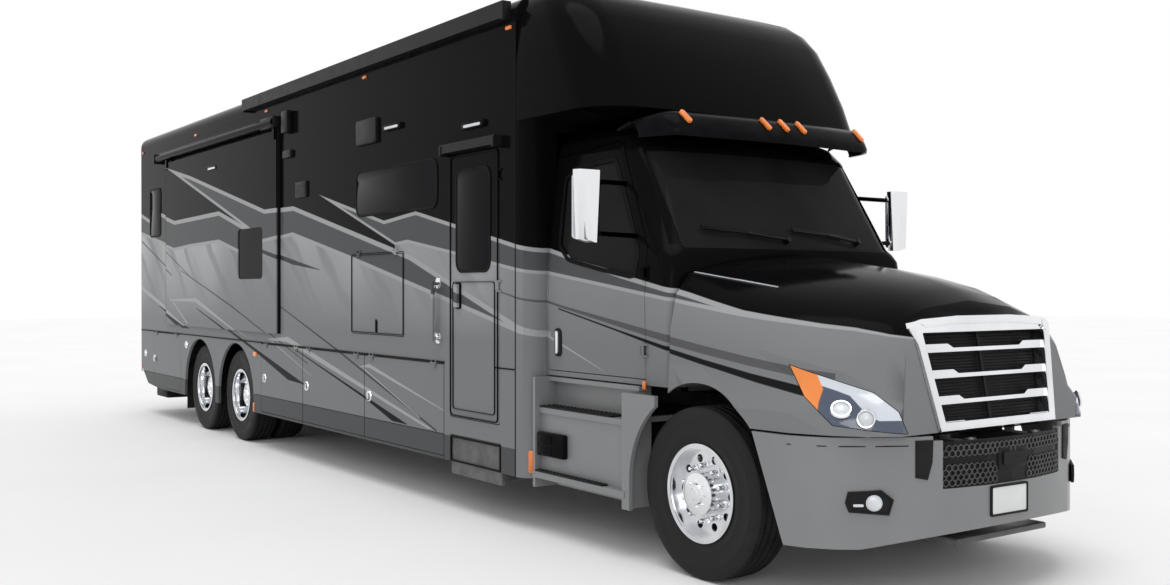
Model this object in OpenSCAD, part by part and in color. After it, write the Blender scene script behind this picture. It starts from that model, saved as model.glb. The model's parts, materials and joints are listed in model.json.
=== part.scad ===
// Motorhome on a three-axle conventional truck chassis, sizes in millimetres.
// +X is forward, +Y is the vehicle's left, +Z is up. The ground is Z = 0 and
// X = 0 is halfway between the rear wall and the front of the bumper.

/* [Overall] */
// Length from the rear wall to the front of the bumper
overall_length = 13250; // [12400:10:14200]
// Width of the house over its side walls
house_width = 2590; // [2440:10:2600]
// Height of the roof's crown above the ground
roof_top_z = 3950; // [3800:10:4000]

/* [Axles and wheels] */
// Bumper's front to the front axle
front_overhang = 1333; // [1250:1:1400]
// Front axle to the foremost drive axle
wheelbase = 7941; // [7000:1:8400]
// Distance between the two drive axles
axle_spacing = 1314; // [1250:1:1400]
// Radius of every tyre
tyre_r = 520; // [500:1:525]
// Width of every tyre
tyre_w = 280; // [250:1:290]
// Outer face of a front tyre, from the middle plane
front_tyre_y = 1190; // [1150:1:1210]
// Outer face of a rear outer tyre, from the middle plane
rear_tyre_y = 1235; // [1180:1:1250]
// Middle of one rear tyre to the middle of its twin
dual_spacing = 340; // [320:1:360]
// Radius of the rim's bead seat
rim_r = 286; // [280:1:295]
// Radius of the spindle that each wheel turns on
spindle_r = 45; // [35:1:55]
// Distance of a kingpin from the middle plane
kingpin_y = 840; // [800:1:850]
// Radius of a kingpin
kingpin_r = 25; // [20:1:30]

/* [House walls] */
// Thickness of the side and rear walls
wall_t = 45; // [30:1:60]
// Thickness of the roof
roof_t = 60; // [40:1:80]
// Height of the skirt's top edge, where the walls begin
skirt_top_z = 1156; // [1100:1:1200]
// Height of the skirt's bottom edge
skirt_bottom_z = 381; // [330:1:450]
// Thickness of the skirts
skirt_t = 30; // [20:1:40]
// Height where the walls end and the rounded roof edge begins
wall_top_z = 3674; // [3500:1:3700]
// Front axle back to the house's front edge
house_setback = 1887; // [1800:1:1950]
// Top of the house floor
floor_z = 1200; // [1180:1:1220]
// Thickness of the house floor
floor_t = 80; // [60:1:100]

/* [Slide-out rooms] */
// How far each slide-out room travels
slide_travel = 750; // [500:10:800]
// Height of a slide-out room's bottom edge
slide_bottom_z = 1270; // [1260:1:1300]
// Height of a slide-out room's top edge
slide_top_z = 3400; // [3200:1:3420]
// Depth of a slide-out room's walls into the house
slide_depth = 800; // [780:10:860]
// Thickness of a slide-out room's panels
slide_t = 40; // [30:1:60]
// Length of the right slide-out room
slide_r_len = 4011; // [3500:1:4100]
// Length of the left slide-out room
slide_l_len = 5600; // [5000:10:5800]

/* [Doors] */
// Width of the entry door
entry_w = 744; // [700:1:760]
// Bottom of the entry door
entry_z0 = 739; // [720:1:760]
// Top of the entry door
entry_z1 = 2790; // [2700:1:2810]
// Bottom of a cab door
cab_door_z0 = 1165; // [1150:1:1200]
// Thickness of a cab door
cab_door_t = 70; // [50:1:80]
// Gap all round each door and lid
door_gap = 6; // [5:1:10]

/* [Cab and hood] */
// Height of the cab floor
cab_floor_z = 1180; // [1150:1:1200]
// Thickness of the cab's walls
cab_t = 55; // [40:1:65]
// Thickness of the hood
hood_t = 25; // [15:1:35]
// Radius of the front wheel arches
arch_r = 662; // [640:1:680]
// Radius of the rear wheel arches
rear_arch_r = 600; // [590:1:620]

/* [Hitch] */
// Inner size of the square receiver tube
receiver_in = 63.5; // [50.8, 63.5, 76.2]
// Radius of the hitch pin hole
hitch_pin_r = 8.2; // [6:0.1:9]

/* [Hidden] */
half_len = overall_length / 2;
half_w = house_width / 2;
front_axle_x = half_len - front_overhang;
rear_axle_x = front_axle_x - wheelbase;
rear_axle_xs = [rear_axle_x, rear_axle_x - axle_spacing];
house_x0 = -half_len;
house_x1 = front_axle_x - house_setback;
run_gap = 0.05;          // radial clearance of a shaft in its bore
seal_gap = 0.5;          // clearance round a pane in its groove
move_gap = 8;            // clearance between pieces that move past each other
big = 20000;             // longer than anything that is cut

// ---------- helpers ----------

function flat(lists) = [for (one = lists) for (item = one) item];

// A closed solid through rings of points, each with the same number of points,
// listed anticlockwise as seen from the last ring.
module loft(rings) {
    n = len(rings[0]);
    m = len(rings);
    first_cap = [for (i = [0 : n - 1]) i];
    last_cap = [for (i = [n - 1 : -1 : 0]) (m - 1) * n + i];
    sides = [for (k = [0 : m - 2]) for (i = [0 : n - 1]) for (half = [0, 1])
        let (a = k * n + i, b = k * n + (i + 1) % n, c = b + n, d = a + n)
        half == 0 ? [a, c, b] : [a, d, c]];
    polyhedron(points = flat(rings), faces = concat([first_cap, last_cap], sides), convexity = 6);
}

// A plan outline at height z: square at the back, rounded and bowed at the front.
function plan_ring(z, x0, x1, hw, r, bow) =
    let (half = concat([[x0, hw]],
        [for (a = [90 : -15 : 0]) [x1 - r + r * cos(a), hw - r + r * sin(a)]],
        [[x1, (hw - r) / 2]]),
        right = [for (p = half) [p.x, -p.y]],
        left = [for (i = [len(half) - 1 : -1 : 0]) half[i]])
    [for (p = concat(right, [[x1, 0]], left))
        [p.x + bow * (1 - pow(p.y / hw, 2)) * (p.x > x0 ? 1 : 0), p.y, z]];

// A box from its low corner to its high corner.
module block(lo, hi) {
    translate(lo) cube(hi - lo);
}

// A bar of a rounded outline in the XZ plane, through the wall between y0 and y1.
module side_panel(x0, x1, z0, z1, y0, y1, r = 40) {
    w = x1 - x0;
    h = z1 - z0;
    translate([x0, max(y0, y1), z0]) rotate([90, 0, 0]) linear_extrude(abs(y1 - y0))
        union() {
            translate([r, 0]) square([w - 2 * r, h]);
            translate([0, r]) square([w, h - 2 * r]);
            for (x = [r, w - r]) for (z = [r, h - r]) translate([x, z]) circle(r, $fn = 32);
        }
}

// A cylinder along Y between two planes.
module y_cyl(r, x, z, y0, y1) {
    translate([x, max(y0, y1), z]) rotate([90, 0, 0]) cylinder(r = r, h = abs(y1 - y0), $fn = 64);
}

// A cylinder along X between two planes.
module x_cyl(r, y, z, x0, x1) {
    translate([min(x0, x1), y, z]) rotate([0, 90, 0]) cylinder(r = r, h = abs(x1 - x0), $fn = 48);
}

// ---------- panes set in grooved walls ----------

// Where the slide-out rooms' faces begin and end.
slide_rx1 = house_x1 - 4659;
slide_rx0 = slide_rx1 - slide_r_len;
slide_lx1 = house_x1 - 1300;
slide_lx0 = slide_lx1 - slide_l_len;

pane_t = 8;             // thickness of a pane
pane_lap = 18;          // how far a pane reaches behind the edge of its opening
pane_inset = 12;        // depth of the pane's outer face behind the wall's outer face
window_r = 60;          // corner radius of the house windows

// The house windows: [side, x0, x1, z0, z1], side -1 right and 1 left.
wall_windows = [
    [-1, house_x0 + 477, house_x0 + 982, 2460, 3100],
    [-1, house_x1 - 2738, house_x1 - 1199, 2409, 2797],
    [1, house_x0 + 477, house_x0 + 982, 2460, 3100],
    [1, house_x1 - 900, house_x1 - 300, 2409, 2797]];
slide_windows = [
    [-1, slide_rx1 - 1196, slide_rx1 - 404, 1849, 2408],
    [1, slide_lx0 + 700, slide_lx0 + 2200, 2000, 2800],
    [1, slide_lx1 - 1500, slide_lx1 - 500, 2200, 2800]];

// Hole and groove for one pane in a wall whose outer face is at y_face.
module pane_cut(w, y_face, depth) {
    s = w[0];
    side_panel(w[1], w[2], w[3], w[4], s * (y_face + 1), s * (y_face - depth - 1), window_r);
    side_panel(w[1] - pane_lap, w[2] + pane_lap, w[3] - pane_lap, w[4] + pane_lap,
        s * (y_face - pane_inset + seal_gap), s * (y_face - pane_inset - pane_t - seal_gap),
        window_r + pane_lap);
}

module pane(w, y_face) {
    s = w[0];
    lap = pane_lap - seal_gap;
    side_panel(w[1] - lap, w[2] + lap, w[3] - lap, w[4] + lap,
        s * (y_face - pane_inset), s * (y_face - pane_inset - pane_t), window_r + lap);
}

// ---------- hinges ----------

hinge_pin_r = 4;        // radius of a hinge pin
hinge_r = 8;            // outer radius of a hinge barrel
hinge_len = 60;         // length of a hinge barrel
hinge_end = 12;         // length of each fixed lug beyond the barrel
hinge_space = 1;        // gap between a barrel's end and its lug
hinge_out = 12;         // distance of a hinge's axis from the outer face

// The moving half of a hinge on the Z axis, its leaf along -X and reaching in along +Y.
module hinge_barrel(leaf = 40, reach = hinge_out + 4) {
    difference() {
        union() {
            cylinder(r = hinge_r, h = hinge_len, center = true, $fn = 48);
            translate([-leaf, 0, -hinge_len / 2]) cube([leaf, reach, hinge_len]);
        }
        cylinder(r = hinge_pin_r + run_gap, h = hinge_len + 2, center = true, $fn = 48);
    }
}

// The fixed half: a pin held by two lugs along +X that reach in along +Y.
module hinge_pin(leaf = 40, reach = hinge_out + 4) {
    total = hinge_len + 2 * (hinge_end + hinge_space);
    cylinder(r = hinge_pin_r, h = total, center = true, $fn = 48);
    for (s = [-1, 1]) translate([0, 0, s * (total - hinge_end) / 2]) {
        cylinder(r = hinge_r, h = hinge_end, center = true, $fn = 48);
        translate([0, 0, -hinge_end / 2]) cube([leaf, reach, hinge_end]);
    }
}

// ---------- chassis ----------

rail_y = 430;           // outer face of a frame rail
rail_z0 = 640;          // bottom of the rails
rail_z1 = 910;          // top of the rails
rail_web = 10;          // thickness of a rail's web
rail_flange = 90;       // width of a rail's flanges
rail_x0 = house_x0 + 160;
rail_x1 = half_len - 420;
member_t = 80;          // thickness of the crossmembers
gearbox_x0 = front_axle_x - 1190;
gearbox_x1 = front_axle_x - 320;
carrier_x = front_axle_x - 3950;    // middle bearing of the propeller shaft
member_xs = [rail_x0, rear_axle_xs[1] - 900, rear_axle_xs[1] + axle_spacing / 2 - 40,
    rear_axle_x + 900, -200, carrier_x, 2500, gearbox_x0 - 200, rail_x1 - member_t];
receiver_wall = 6.5;    // wall of the receiver tube
receiver_len = 300;
receiver_z = 520;       // middle of the receiver tube
hitch_pin_x = house_x0 + 70;

module rail(side) {
    w = rail_flange;
    t = rail_web;
    h = rail_z1 - rail_z0;
    translate([rail_x0, 0, rail_z0]) rotate([90, 0, 90]) linear_extrude(rail_x1 - rail_x0)
        scale([side, 1]) translate([rail_y - w, 0]) difference() {
            square([w, h]);
            translate([-1, t]) square([w - t + 1, h - 2 * t]);
        }
}

module chassis_frame() color("dimgray") {
    difference() {
        union() {
            for (s = [-1, 1]) mirrored_y(s) rail(1);
            for (x = member_xs)
                block([x, -rail_y + rail_web / 2, rail_z0 + 40],
                    [x + member_t, rail_y - rail_web / 2, rail_z1 - 40]);
            receiver_body();
            tow_eye_brackets();
        }
        translate([house_x0 + 20 - 1, -receiver_in / 2, receiver_z - receiver_in / 2])
            cube([receiver_len + 2, receiver_in, receiver_in]);
        y_cyl(hitch_pin_r, hitch_pin_x, receiver_z, -60, 60);
    }
    hood_pivot_pins();
    // brackets over the drive axles' air springs
    for (s = [-1, 1]) mirrored_y(s) for (ax = rear_axle_xs)
        block([ax - 270, rail_y - 1, air_spring_top], [ax + 270, air_spring_y + air_spring_r, air_spring_top + 30]);
}

module mirrored_y(s) {
    if (s > 0) children(); else mirror([0, 1, 0]) children();
}

module receiver_body() {
    out = receiver_in / 2 + receiver_wall;
    x0 = house_x0 + 20;
    block([x0, -out, receiver_z - out], [x0 + receiver_len, out, receiver_z + out]);
    // the tube under the rear, from side to side, and the plates that hang it from the rails
    block([x0 + 120, -1150, receiver_z - 60], [x0 + 220, 1150, receiver_z + 60]);
    for (s = [-1, 1])
        block([x0 + 110, s * 400 - 15, receiver_z - 60], [x0 + 260, s * 400 + 15, rail_z0 + 60]);
}

hood_pivot_x = front_axle_x + 1263;
hood_pivot_z = 905;
hood_pivot_y = 300;     // middle of each pivot from the middle plane
hood_pin_r = 10;
hood_head_r = 18;       // rounded ends of the brackets and lugs round the pin
hood_lug_w = 30;        // width of the hood's lug
tow_eye_y = 330;

module tow_eye_brackets() {
    // plates that carry the front tow pins and the hood's pivots
    for (s = [-1, 1])
        block([rail_x1 - 120, s * 390 - 20, rail_z0], [rail_x1 + 60, s * 390 + 20, rail_z1]);
    for (s = [-1, 1]) for (y = [hood_pivot_y - 30, hood_pivot_y + 30]) {
        block([rail_x1 - member_t, s * y - 8, rail_z1 - 180],
            [hood_pivot_x + hood_head_r - 2, s * y + 8, hood_pivot_z - 6]);
        y_cyl(hood_head_r, hood_pivot_x, hood_pivot_z, s * y - 8, s * y + 8);
    }
}

module hood_pivot_pins() {
    for (s = [-1, 1])
        y_cyl(hood_pin_r, hood_pivot_x, hood_pivot_z, s * (hood_pivot_y - 38), s * (hood_pivot_y + 38));
}

// ---------- axles ----------

axle_z = tyre_r;        // wheel centres: the tyres just touch the ground
beam_z = axle_z - 30;   // middle of the front beam
knuckle_h = 200;        // height of a knuckle's fork

module front_axle() color("dimgray") {
    beam_h = 110;
    x = front_axle_x;
    // beam between the kingpins, dropped in the middle
    block([x - 60, -620, beam_z - 120], [x + 60, 620, beam_z - 10]);
    for (s = [-1, 1]) mirrored_y(s) {
        block([x - 55, 560, beam_z - 120], [x + 55, 660, axle_z + 45]);
        block([x - 50, 600, axle_z - 45], [x + 50, kingpin_y - 30, axle_z + 45]);
        translate([x, kingpin_y, axle_z]) cylinder(r = 48, h = 90, center = true, $fn = 48);
        translate([x, kingpin_y, axle_z]) cylinder(r = kingpin_r, h = 210, center = true, $fn = 48);
        // leaf springs from hanger to hanger, clamped to the beam
        for (leaf = [0 : 3])
            block([x - 700 + leaf * 140, 360, beam_z - 10 + leaf * 14],
                [x + 700 - leaf * 140, 425, beam_z + 4 + leaf * 14]);
        for (dx = [-690, 640])
            block([x + dx, 372, beam_z], [x + dx + 50, 413, rail_z0]);
    }
}

air_spring_y = 500;
air_spring_r = 60;
air_spring_top = 690;
housing_r = 215;        // the round middle of a drive axle
nose_len = 330;         // reach of an axle's drive shaft flange

module drive_axles() color("dimgray") {
    tube_end = rear_tyre_y - tyre_w - dual_spacing - 25;
    for (x = rear_axle_xs) {
        y_cyl(80, x, axle_z, -tube_end, tube_end);
        translate([x, 0, axle_z]) sphere(r = housing_r, $fn = 48);
        x_cyl(60, 0, axle_z, x + 150, x + nose_len);
        for (s = [-1, 1]) {
            y_cyl(spindle_r, x, axle_z, s * tube_end, s * (rear_tyre_y - 60));
            y = s * air_spring_y;
            block([x - 260, y - air_spring_r, axle_z - 40], [x + 260, y + air_spring_r, axle_z + 40]);
            for (dx = [-200, 200]) translate([x + dx, y, axle_z + 40])
                cylinder(r = air_spring_r, h = air_spring_top - axle_z - 40, $fn = 48);
        }
    }
}

// One knuckle: a fork round the beam's end, a spindle outward and an arm back.
module knuckle(side) {
    gap = 1.5;          // between the fork's cheeks and the beam's eye
    bore = kingpin_r + run_gap;
    color("dimgray") difference() {
        union() {
            for (s = [-1, 1]) translate([front_axle_x, side * kingpin_y, axle_z + s * (45 + gap + 25)])
                cylinder(r = 48, h = 50, center = true, $fn = 48);
            y0 = kingpin_y + 52;
            block([front_axle_x - 48, min(side * y0, side * (y0 + 28)), axle_z - 120],
                [front_axle_x + 48, max(side * y0, side * (y0 + 28)), axle_z + 120]);
            for (s = [-1, 1]) {
                za = axle_z + s * (45 + gap + 25);
                block([front_axle_x - 48, min(side * kingpin_y, side * (y0 + 5)), za - 25],
                    [front_axle_x + 48, max(side * kingpin_y, side * (y0 + 5)), za + 25]);
            }
            y_cyl(spindle_r, front_axle_x, axle_z, side * (y0 + 10), side * (front_tyre_y - 20));
            block([front_axle_x - 230, side * kingpin_y - 22, axle_z - 116],
                [front_axle_x - 20, side * kingpin_y + 22, axle_z - 76]);
        }
        translate([front_axle_x, side * kingpin_y, axle_z])
            cylinder(r = bore, h = 260, center = true, $fn = 48);
    }
}

// ---------- wheels ----------

shoulder_r = 45;        // rounding of a tyre's shoulders
bead_in = 18;           // how far a tyre's beads stand in from its widest place

// A tyre's section from its bead to its tread, with the axle along the Y axis of the sketch.
module tyre_section() {
    r = shoulder_r;
    h = tyre_w / 2;
    difference() {
        union() {
            translate([rim_r + 0.3, -h + bead_in]) square([60, tyre_w - 2 * bead_in]);
            translate([rim_r + 50, -h + bead_in / 2]) square([60, tyre_w - bead_in]);
            translate([rim_r + 100, -h]) square([tyre_r - rim_r - 100 - r, tyre_w]);
            translate([tyre_r - r - 1, -h + r]) square([r + 1, tyre_w - 2 * r]);
            for (s = [-1, 1]) translate([tyre_r - r, s * (h - r)]) circle(r, $fn = 48);
        }
        translate([rim_r, -h + 40]) square([120, tyre_w - 80]);
    }
}

module tyre(x, y_mid) {
    color("black") translate([x, y_mid, axle_z]) rotate([90, 0, 0]) rotate_extrude($fn = 96) tyre_section();
}

hub_bore = spindle_r + run_gap;
hand_hole_r = 25;
hand_hole_pcd = 420;
hand_holes = 10;

// A rim in a sketch of radius and axial distance: barrel, flanges and a disc at disc_at.
module rim_section(disc_at, hub_out, hub_in) {
    h = tyre_w / 2 - bead_in;
    translate([rim_r - 22, -h]) square([22, 2 * h]);
    for (s = [-1, 1]) translate([rim_r - 14, s * (h + 6) - 6]) square([26, 12]);
    translate([120, disc_at - 9]) square([rim_r - 130, 18]);
    // bell that joins the disc to the barrel where it lies beyond the barrel's end
    if (abs(disc_at) > h) translate([rim_r - 32, min(disc_at - 9, sign(disc_at) * h - 10)])
        square([22, abs(disc_at) - h + 19]);
    translate([hub_bore, hub_in]) square([130 - hub_bore, hub_out - hub_in]);
}

module rim(x, y_mid, out, disc_at, hub_out, hub_in) {
    // out is +1 when the outer face looks along +Y
    translate([x, y_mid, axle_z]) rotate([out > 0 ? -90 : 90, 0, 0]) difference() {
        rotate_extrude($fn = 96) rim_section(disc_at, hub_out, hub_in);
        for (i = [0 : hand_holes - 1]) rotate([0, 0, i * 360 / hand_holes])
            translate([hand_hole_pcd / 2, 0, disc_at]) cylinder(r = hand_hole_r, h = 60, center = true, $fn = 32);
    }
}

module front_rim(side) {
    y_mid = side * (front_tyre_y - tyre_w / 2);
    color("silver") rim(front_axle_x, y_mid, side, 60, 150, -45);
}

module rear_rims(side, k) {
    x = rear_axle_xs[k];
    y_out = side * (rear_tyre_y - tyre_w / 2);
    color("silver") {
        rim(x, y_out, side, -dual_spacing / 2 + 9, 60, -dual_spacing / 2);
        rim(x, y_out - side * dual_spacing, side, dual_spacing / 2 - 9, dual_spacing / 2, 0);
    }
}

module front_tyre(side) {
    tyre(front_axle_x, side * (front_tyre_y - tyre_w / 2));
}

module rear_tyres(side, k) {
    for (d = [0, dual_spacing])
        tyre(rear_axle_xs[k], side * (rear_tyre_y - tyre_w / 2 - d));
}

// ---------- plain masses below ----------

module engine_block() color("gray") {
    x1 = rail_x1 - member_t - 60;
    block([gearbox_x1 + 6, -315, 620], [x1 - 260, 315, 1480]);
    // radiator and its shrouds ahead of the engine
    block([x1 - 120, -430, rail_z1 + 20], [x1 - 20, 430, 1470]);
    block([x1 - 270, -200, 950], [x1 - 110, 200, 1300]);
}

module driveline() color("gray") {
    shaft_z = axle_z + 60;
    // gearbox behind the engine, and the shafts back to both axles
    block([gearbox_x0, -230, 560], [gearbox_x1, 230, 1000]);
    x_cyl(55, 0, shaft_z, carrier_x + 60, gearbox_x0 + 10);
    block([carrier_x, -90, axle_z - 60], [carrier_x + member_t, 90, rail_z0 + 40]);
    x_cyl(55, 0, axle_z, rear_axle_x + nose_len + 1, carrier_x + 5);
    x_cyl(50, 0, axle_z, rear_axle_xs[1] + nose_len + 1, rear_axle_x - housing_r - 2);
}

tank_r = 215;
tank_y = 740;
tank_z = 640;

module underbody_tanks() color("silver") {
    x0 = house_x1 + 130;
    for (s = [-1, 1]) {
        x_cyl(tank_r, s * tank_y, tank_z, x0, x0 + 1050);
        for (dx = [150, 850]) mirrored_y(s)
            block([x0 + dx, rail_y, rail_z0], [x0 + dx + 60, tank_y - tank_r + 20, rail_z0 + 120]);
    }
}

// Storage bays behind the skirt doors: [side, x0, x1, door opening x0, door opening x1].
bay_t = 12;             // wall of a storage bay
bay_z0 = 430;
bay_z1 = 1100;
bay_depth = 740;        // from the skirt's inner face inward
bays = [
    [-1, rear_axle_x + 840, house_x1 - 4037 + 1],
    [-1, house_x1 - 4037 + 1, house_x1 - 2579],
    [-1, house_x1 - 2579, house_x1 - 1084],
    [-1, house_x0 + 640, house_x0 + 1860],
    [1, house_x1 - 4600, house_x1 - 1400]];
bay_lip = 14;           // the doors stand over the bays' edges by this much

module storage_bays() color("dimgray") {
    y1 = half_w - skirt_t - door_gap;
    y0 = y1 - bay_depth;
    for (b = bays) difference() {
        block([b[1] + bay_lip, b[0] > 0 ? y0 : -y1, bay_z0], [b[2] - bay_lip, b[0] > 0 ? y1 : -y0, bay_z1]);
        block([b[1] + bay_lip + bay_t, b[0] > 0 ? y0 + bay_t : -y1 - 1, bay_z0 + bay_t],
            [b[2] - bay_lip - bay_t, b[0] > 0 ? y1 + 1 : -y0 - bay_t, bay_z1 - bay_t]);
    }
    for (b = bays) for (x = [b[1] + 200, b[2] - 260])
        block([x, b[0] > 0 ? y0 : -y1 + 40, bay_z1], [x + 60, b[0] > 0 ? y1 - 40 : -y0, floor_z - floor_t]);
}

// ---------- house ----------

flange = 45;            // how far a slide-out room's face reaches past its walls
flange_t = 35;          // thickness of that face
flange_gap = 6;         // the face stands off the wall when closed

entry_x1 = house_x1 - 236;
entry_x0 = entry_x1 - entry_w;
kitchen_x0 = house_x1 - 2851;
kitchen_x1 = house_x1 - 1786;
kitchen_z0 = 1341;
kitchen_z1 = 2060;

module house_floor() color("tan") {
    y = half_w - wall_t;
    block([house_x0 + wall_t, -y, floor_z - floor_t], [entry_x0 - 20, y, floor_z]);
    block([entry_x0 - 21, -half_w + wall_t + 620, floor_z - floor_t], [house_x1, y, floor_z]);
    // step well inside the entry door
    block([entry_x0 - 21, -half_w + wall_t + 10, 800], [house_x1 - 30, -half_w + wall_t + 640, 840]);
    block([entry_x0 - 21, -half_w + wall_t + 600, 800], [house_x1 - 30, -half_w + wall_t + 640, floor_z - floor_t]);
    // sleepers on the frame rails
    for (s = [-1, 1])
        block([rail_x0 + 100, s * 390 - 40, rail_z1], [3300, s * 390 + 40, floor_z - floor_t]);
}

// Openings through one side wall, where the doors, slide-out rooms and panes go.
module wall_openings(s) {
    g = door_gap;
    inner = s * (half_w - wall_t - 2);
    outer = s * (half_w + 2);
    for (w = wall_windows) if (w[0] == s) pane_cut(w, half_w, wall_t);
    if (s < 0) {
        side_panel(entry_x0 - g, entry_x1 + g, skirt_top_z - 300, entry_z1 + g, inner, outer, 30);
        side_panel(kitchen_x0 - g, kitchen_x1 + g, kitchen_z0 - g, kitchen_z1 + g, inner, outer, 25);
    }
    x0 = s < 0 ? slide_rx0 : slide_lx0;
    x1 = s < 0 ? slide_rx1 : slide_lx1;
    side_panel(x0 + flange - move_gap, x1 - flange + move_gap,
        slide_bottom_z + flange - move_gap, slide_top_z - flange + move_gap, inner, outer, 10);
}

module side_wall(s) {
    y0 = s * (half_w - wall_t);
    y1 = s * half_w;
    color([0.12, 0.12, 0.13]) {
        difference() {
            block([house_x0 + wall_t, min(y0, y1), skirt_top_z], [house_x1, max(y0, y1), wall_top_z]);
            wall_openings(s);
        }
        // drip rail over the skirt doors, with the hinges' fixed halves under it
        for (d = bay_doors) if (d[0] == s) bay_hinges(d, true);
        if (s < 0) {
            kitchen_hinges(true);
            entry_hinges(true);
            // handrail behind the entry door
            hx = entry_x0 - 188;
            translate([hx, -half_w - 60, 1327]) cylinder(r = 13, h = 478, $fn = 48);
            for (z = [1345, 1787]) y_cyl(11, hx, z, -half_w - 60, -half_w + 5);
        }
    }
}

// A door's hinge pins or barrels along its top edge.
module top_hinges(s, x0, x1, z, fixed) {
    for (x = [x0 + 160, x1 - 160])
        translate([x, s * (half_w + hinge_out), z])
            rotate([0, 90, 0]) mirrored_y(-s) scale([1, 1, 1])
                if (fixed) top_pin(); else top_barrel();
}

// On the Z axis here: after the turn in top_hinges, -X is up and +X is down.
module top_pin() {
    mirror([1, 0, 0]) hinge_pin(26);
}

module top_barrel() {
    mirror([1, 0, 0]) hinge_barrel(34);
}

module rear_wall() color([0.15, 0.15, 0.16]) {
    difference() {
        block([house_x0, -half_w, skirt_bottom_z + 250], [house_x0 + wall_t, half_w, wall_top_z]);
        // rear window
        translate([house_x0 - 1, -450, 2300]) cube([wall_t + 2, 900, 500]);
        translate([house_x0 + pane_inset - seal_gap, -450 - pane_lap, 2300 - pane_lap])
            cube([pane_t + 2 * seal_gap, 900 + 2 * pane_lap, 500 + 2 * pane_lap]);
    }
}

roof_edge_r = 150;      // rounding of the roof's long edges

// Half of the roof's section in the YZ plane, crowned from a flat-sided edge.
module roof_half(inset) {
    edge_top = roof_top_z - 70;
    r = roof_edge_r - inset;
    hull() {
        translate([half_w - roof_edge_r, edge_top - roof_edge_r]) circle(r, $fn = 48);
        translate([-10, roof_top_z - 60 - inset]) square([10, 60]);
        translate([-10, wall_top_z - (inset > 0 ? 10 : 0)]) square([half_w + 10 - inset, 10]);
    }
}

module roof_run(inset, x0, x1) {
    translate([x0, 0, 0]) rotate([90, 0, 90]) linear_extrude(x1 - x0) {
        roof_half(inset);
        mirror([1, 0]) roof_half(inset);
    }
}

// Open at its front end, where the cap begins, and closed at its rear end.
module roof() color([0.2, 0.2, 0.21]) difference() {
    roof_run(0, house_x0, house_x1);
    roof_run(roof_t, house_x0 + wall_t, house_x1 + 1);
    block([-big, -big, 0], [big, big, wall_top_z]);
}

// Sections of the cap over the cab: [z, front x from the front axle, half width, corner radius, bow].
cap_rows = [
    [2960, -852, 1.000, 330, 60],
    [3150, -930, 1.000, 330, 60],
    [3400, -1060, 0.998, 330, 55],
    [3620, -1190, 0.985, 320, 50],
    [3760, -1320, 0.965, 300, 40],
    [3850, -1450, 0.930, 280, 30],
    [3920, -1640, 0.850, 230, 20],
    [3950, -1800, 0.700, 70, 10]];
cap_t = 45;             // thickness of the cap's skin
post_x = 150;           // how far the corner posts reach ahead of the house's edge

function cap_rings(inset) = [for (row = cap_rows)
    let (z = row[0] - (row[0] > 3600 ? inset : 0) + (row[0] < 3000 ? inset : 0))
    plan_ring(z, house_x1 + (inset > 0 ? -50 : 0), front_axle_x + row[1] - inset,
        half_w * row[2] - inset, max(row[3] - inset, 40), row[4])];

module front_cap() color([0.1, 0.1, 0.11]) {
    difference() {
        loft(cap_rings(0));
        loft(cap_rings(cap_t));
    }
    // rounded corner posts down to the skirt, and a wall between them round the cab's opening
    for (s = [-1, 1]) mirrored_y(s) {
        intersection() {
            translate([house_x1, half_w - post_x, skirt_bottom_z])
                difference() {
                    cylinder(r = post_x, h = 2960 - skirt_bottom_z, $fn = 64);
                    translate([0, 0, -1]) cylinder(r = post_x - cap_t, h = 2962 - skirt_bottom_z, $fn = 64);
                }
            block([house_x1, 0, 0], [house_x1 + post_x, half_w, 3000]);
        }
        block([house_x1 + post_x - cap_t, 1040, cab_floor_z - 60],
            [house_x1 + post_x, half_w - post_x + 0.01, 2960]);
    }
    block([house_x1 + post_x - cap_t, -1040.01, 2885], [house_x1 + post_x, 1040.01, 2960]);
}

module skirts() color([0.3, 0.3, 0.31]) {
    for (s = [-1, 1]) {
        y0 = s * (half_w - skirt_t);
        y1 = s * half_w;
        difference() {
            translate([0, max(y0, y1), 0]) rotate([90, 0, 0]) linear_extrude(skirt_t) polygon([
                [house_x0 + wall_t, skirt_top_z], [house_x0 + wall_t, skirt_bottom_z + 250],
                [house_x0 + 350, skirt_bottom_z + 40], [house_x0 + 900, skirt_bottom_z],
                [house_x1, skirt_bottom_z], [house_x1, skirt_top_z]]);
            for (x = rear_axle_xs)
                y_cyl(rear_arch_r, x, axle_z, min(y0, y1) - 5, max(y0, y1) + 5);
            for (x = rear_axle_xs)
                block([x - rear_arch_r, min(y0, y1) - 5, 0], [x + rear_arch_r, max(y0, y1) + 5, axle_z]);
            for (d = bay_doors) if (d[0] == s)
                block([d[1] - door_gap / 2, min(y0, y1) - 5, d[3] - door_gap],
                    [d[2] + door_gap / 2, max(y0, y1) + 5, skirt_top_z + 1]);
            if (s < 0) {
                block([entry_x0 - door_gap, y1 - 5, entry_z0 - door_gap],
                    [entry_x1 + door_gap, y0 + 5, skirt_top_z + 5]);
                block([step_x0 - door_gap, y1 - 5, 0], [step_x1 + door_gap, y0 + 5, step_z1 + door_gap]);
            }
        }
    }
    // ties from the skirts in to the floor's edge
    for (s = [-1, 1]) for (x = [house_x0 + 300, (rear_axle_xs[0] + rear_axle_xs[1]) / 2, house_x1 - 100])
        block([x - 25, s > 0 ? half_w - skirt_t - 40 : -half_w + skirt_t,
            floor_z - floor_t - 80], [x + 25, s > 0 ? half_w - skirt_t : -half_w + skirt_t + 40, floor_z - floor_t]);
}

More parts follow.
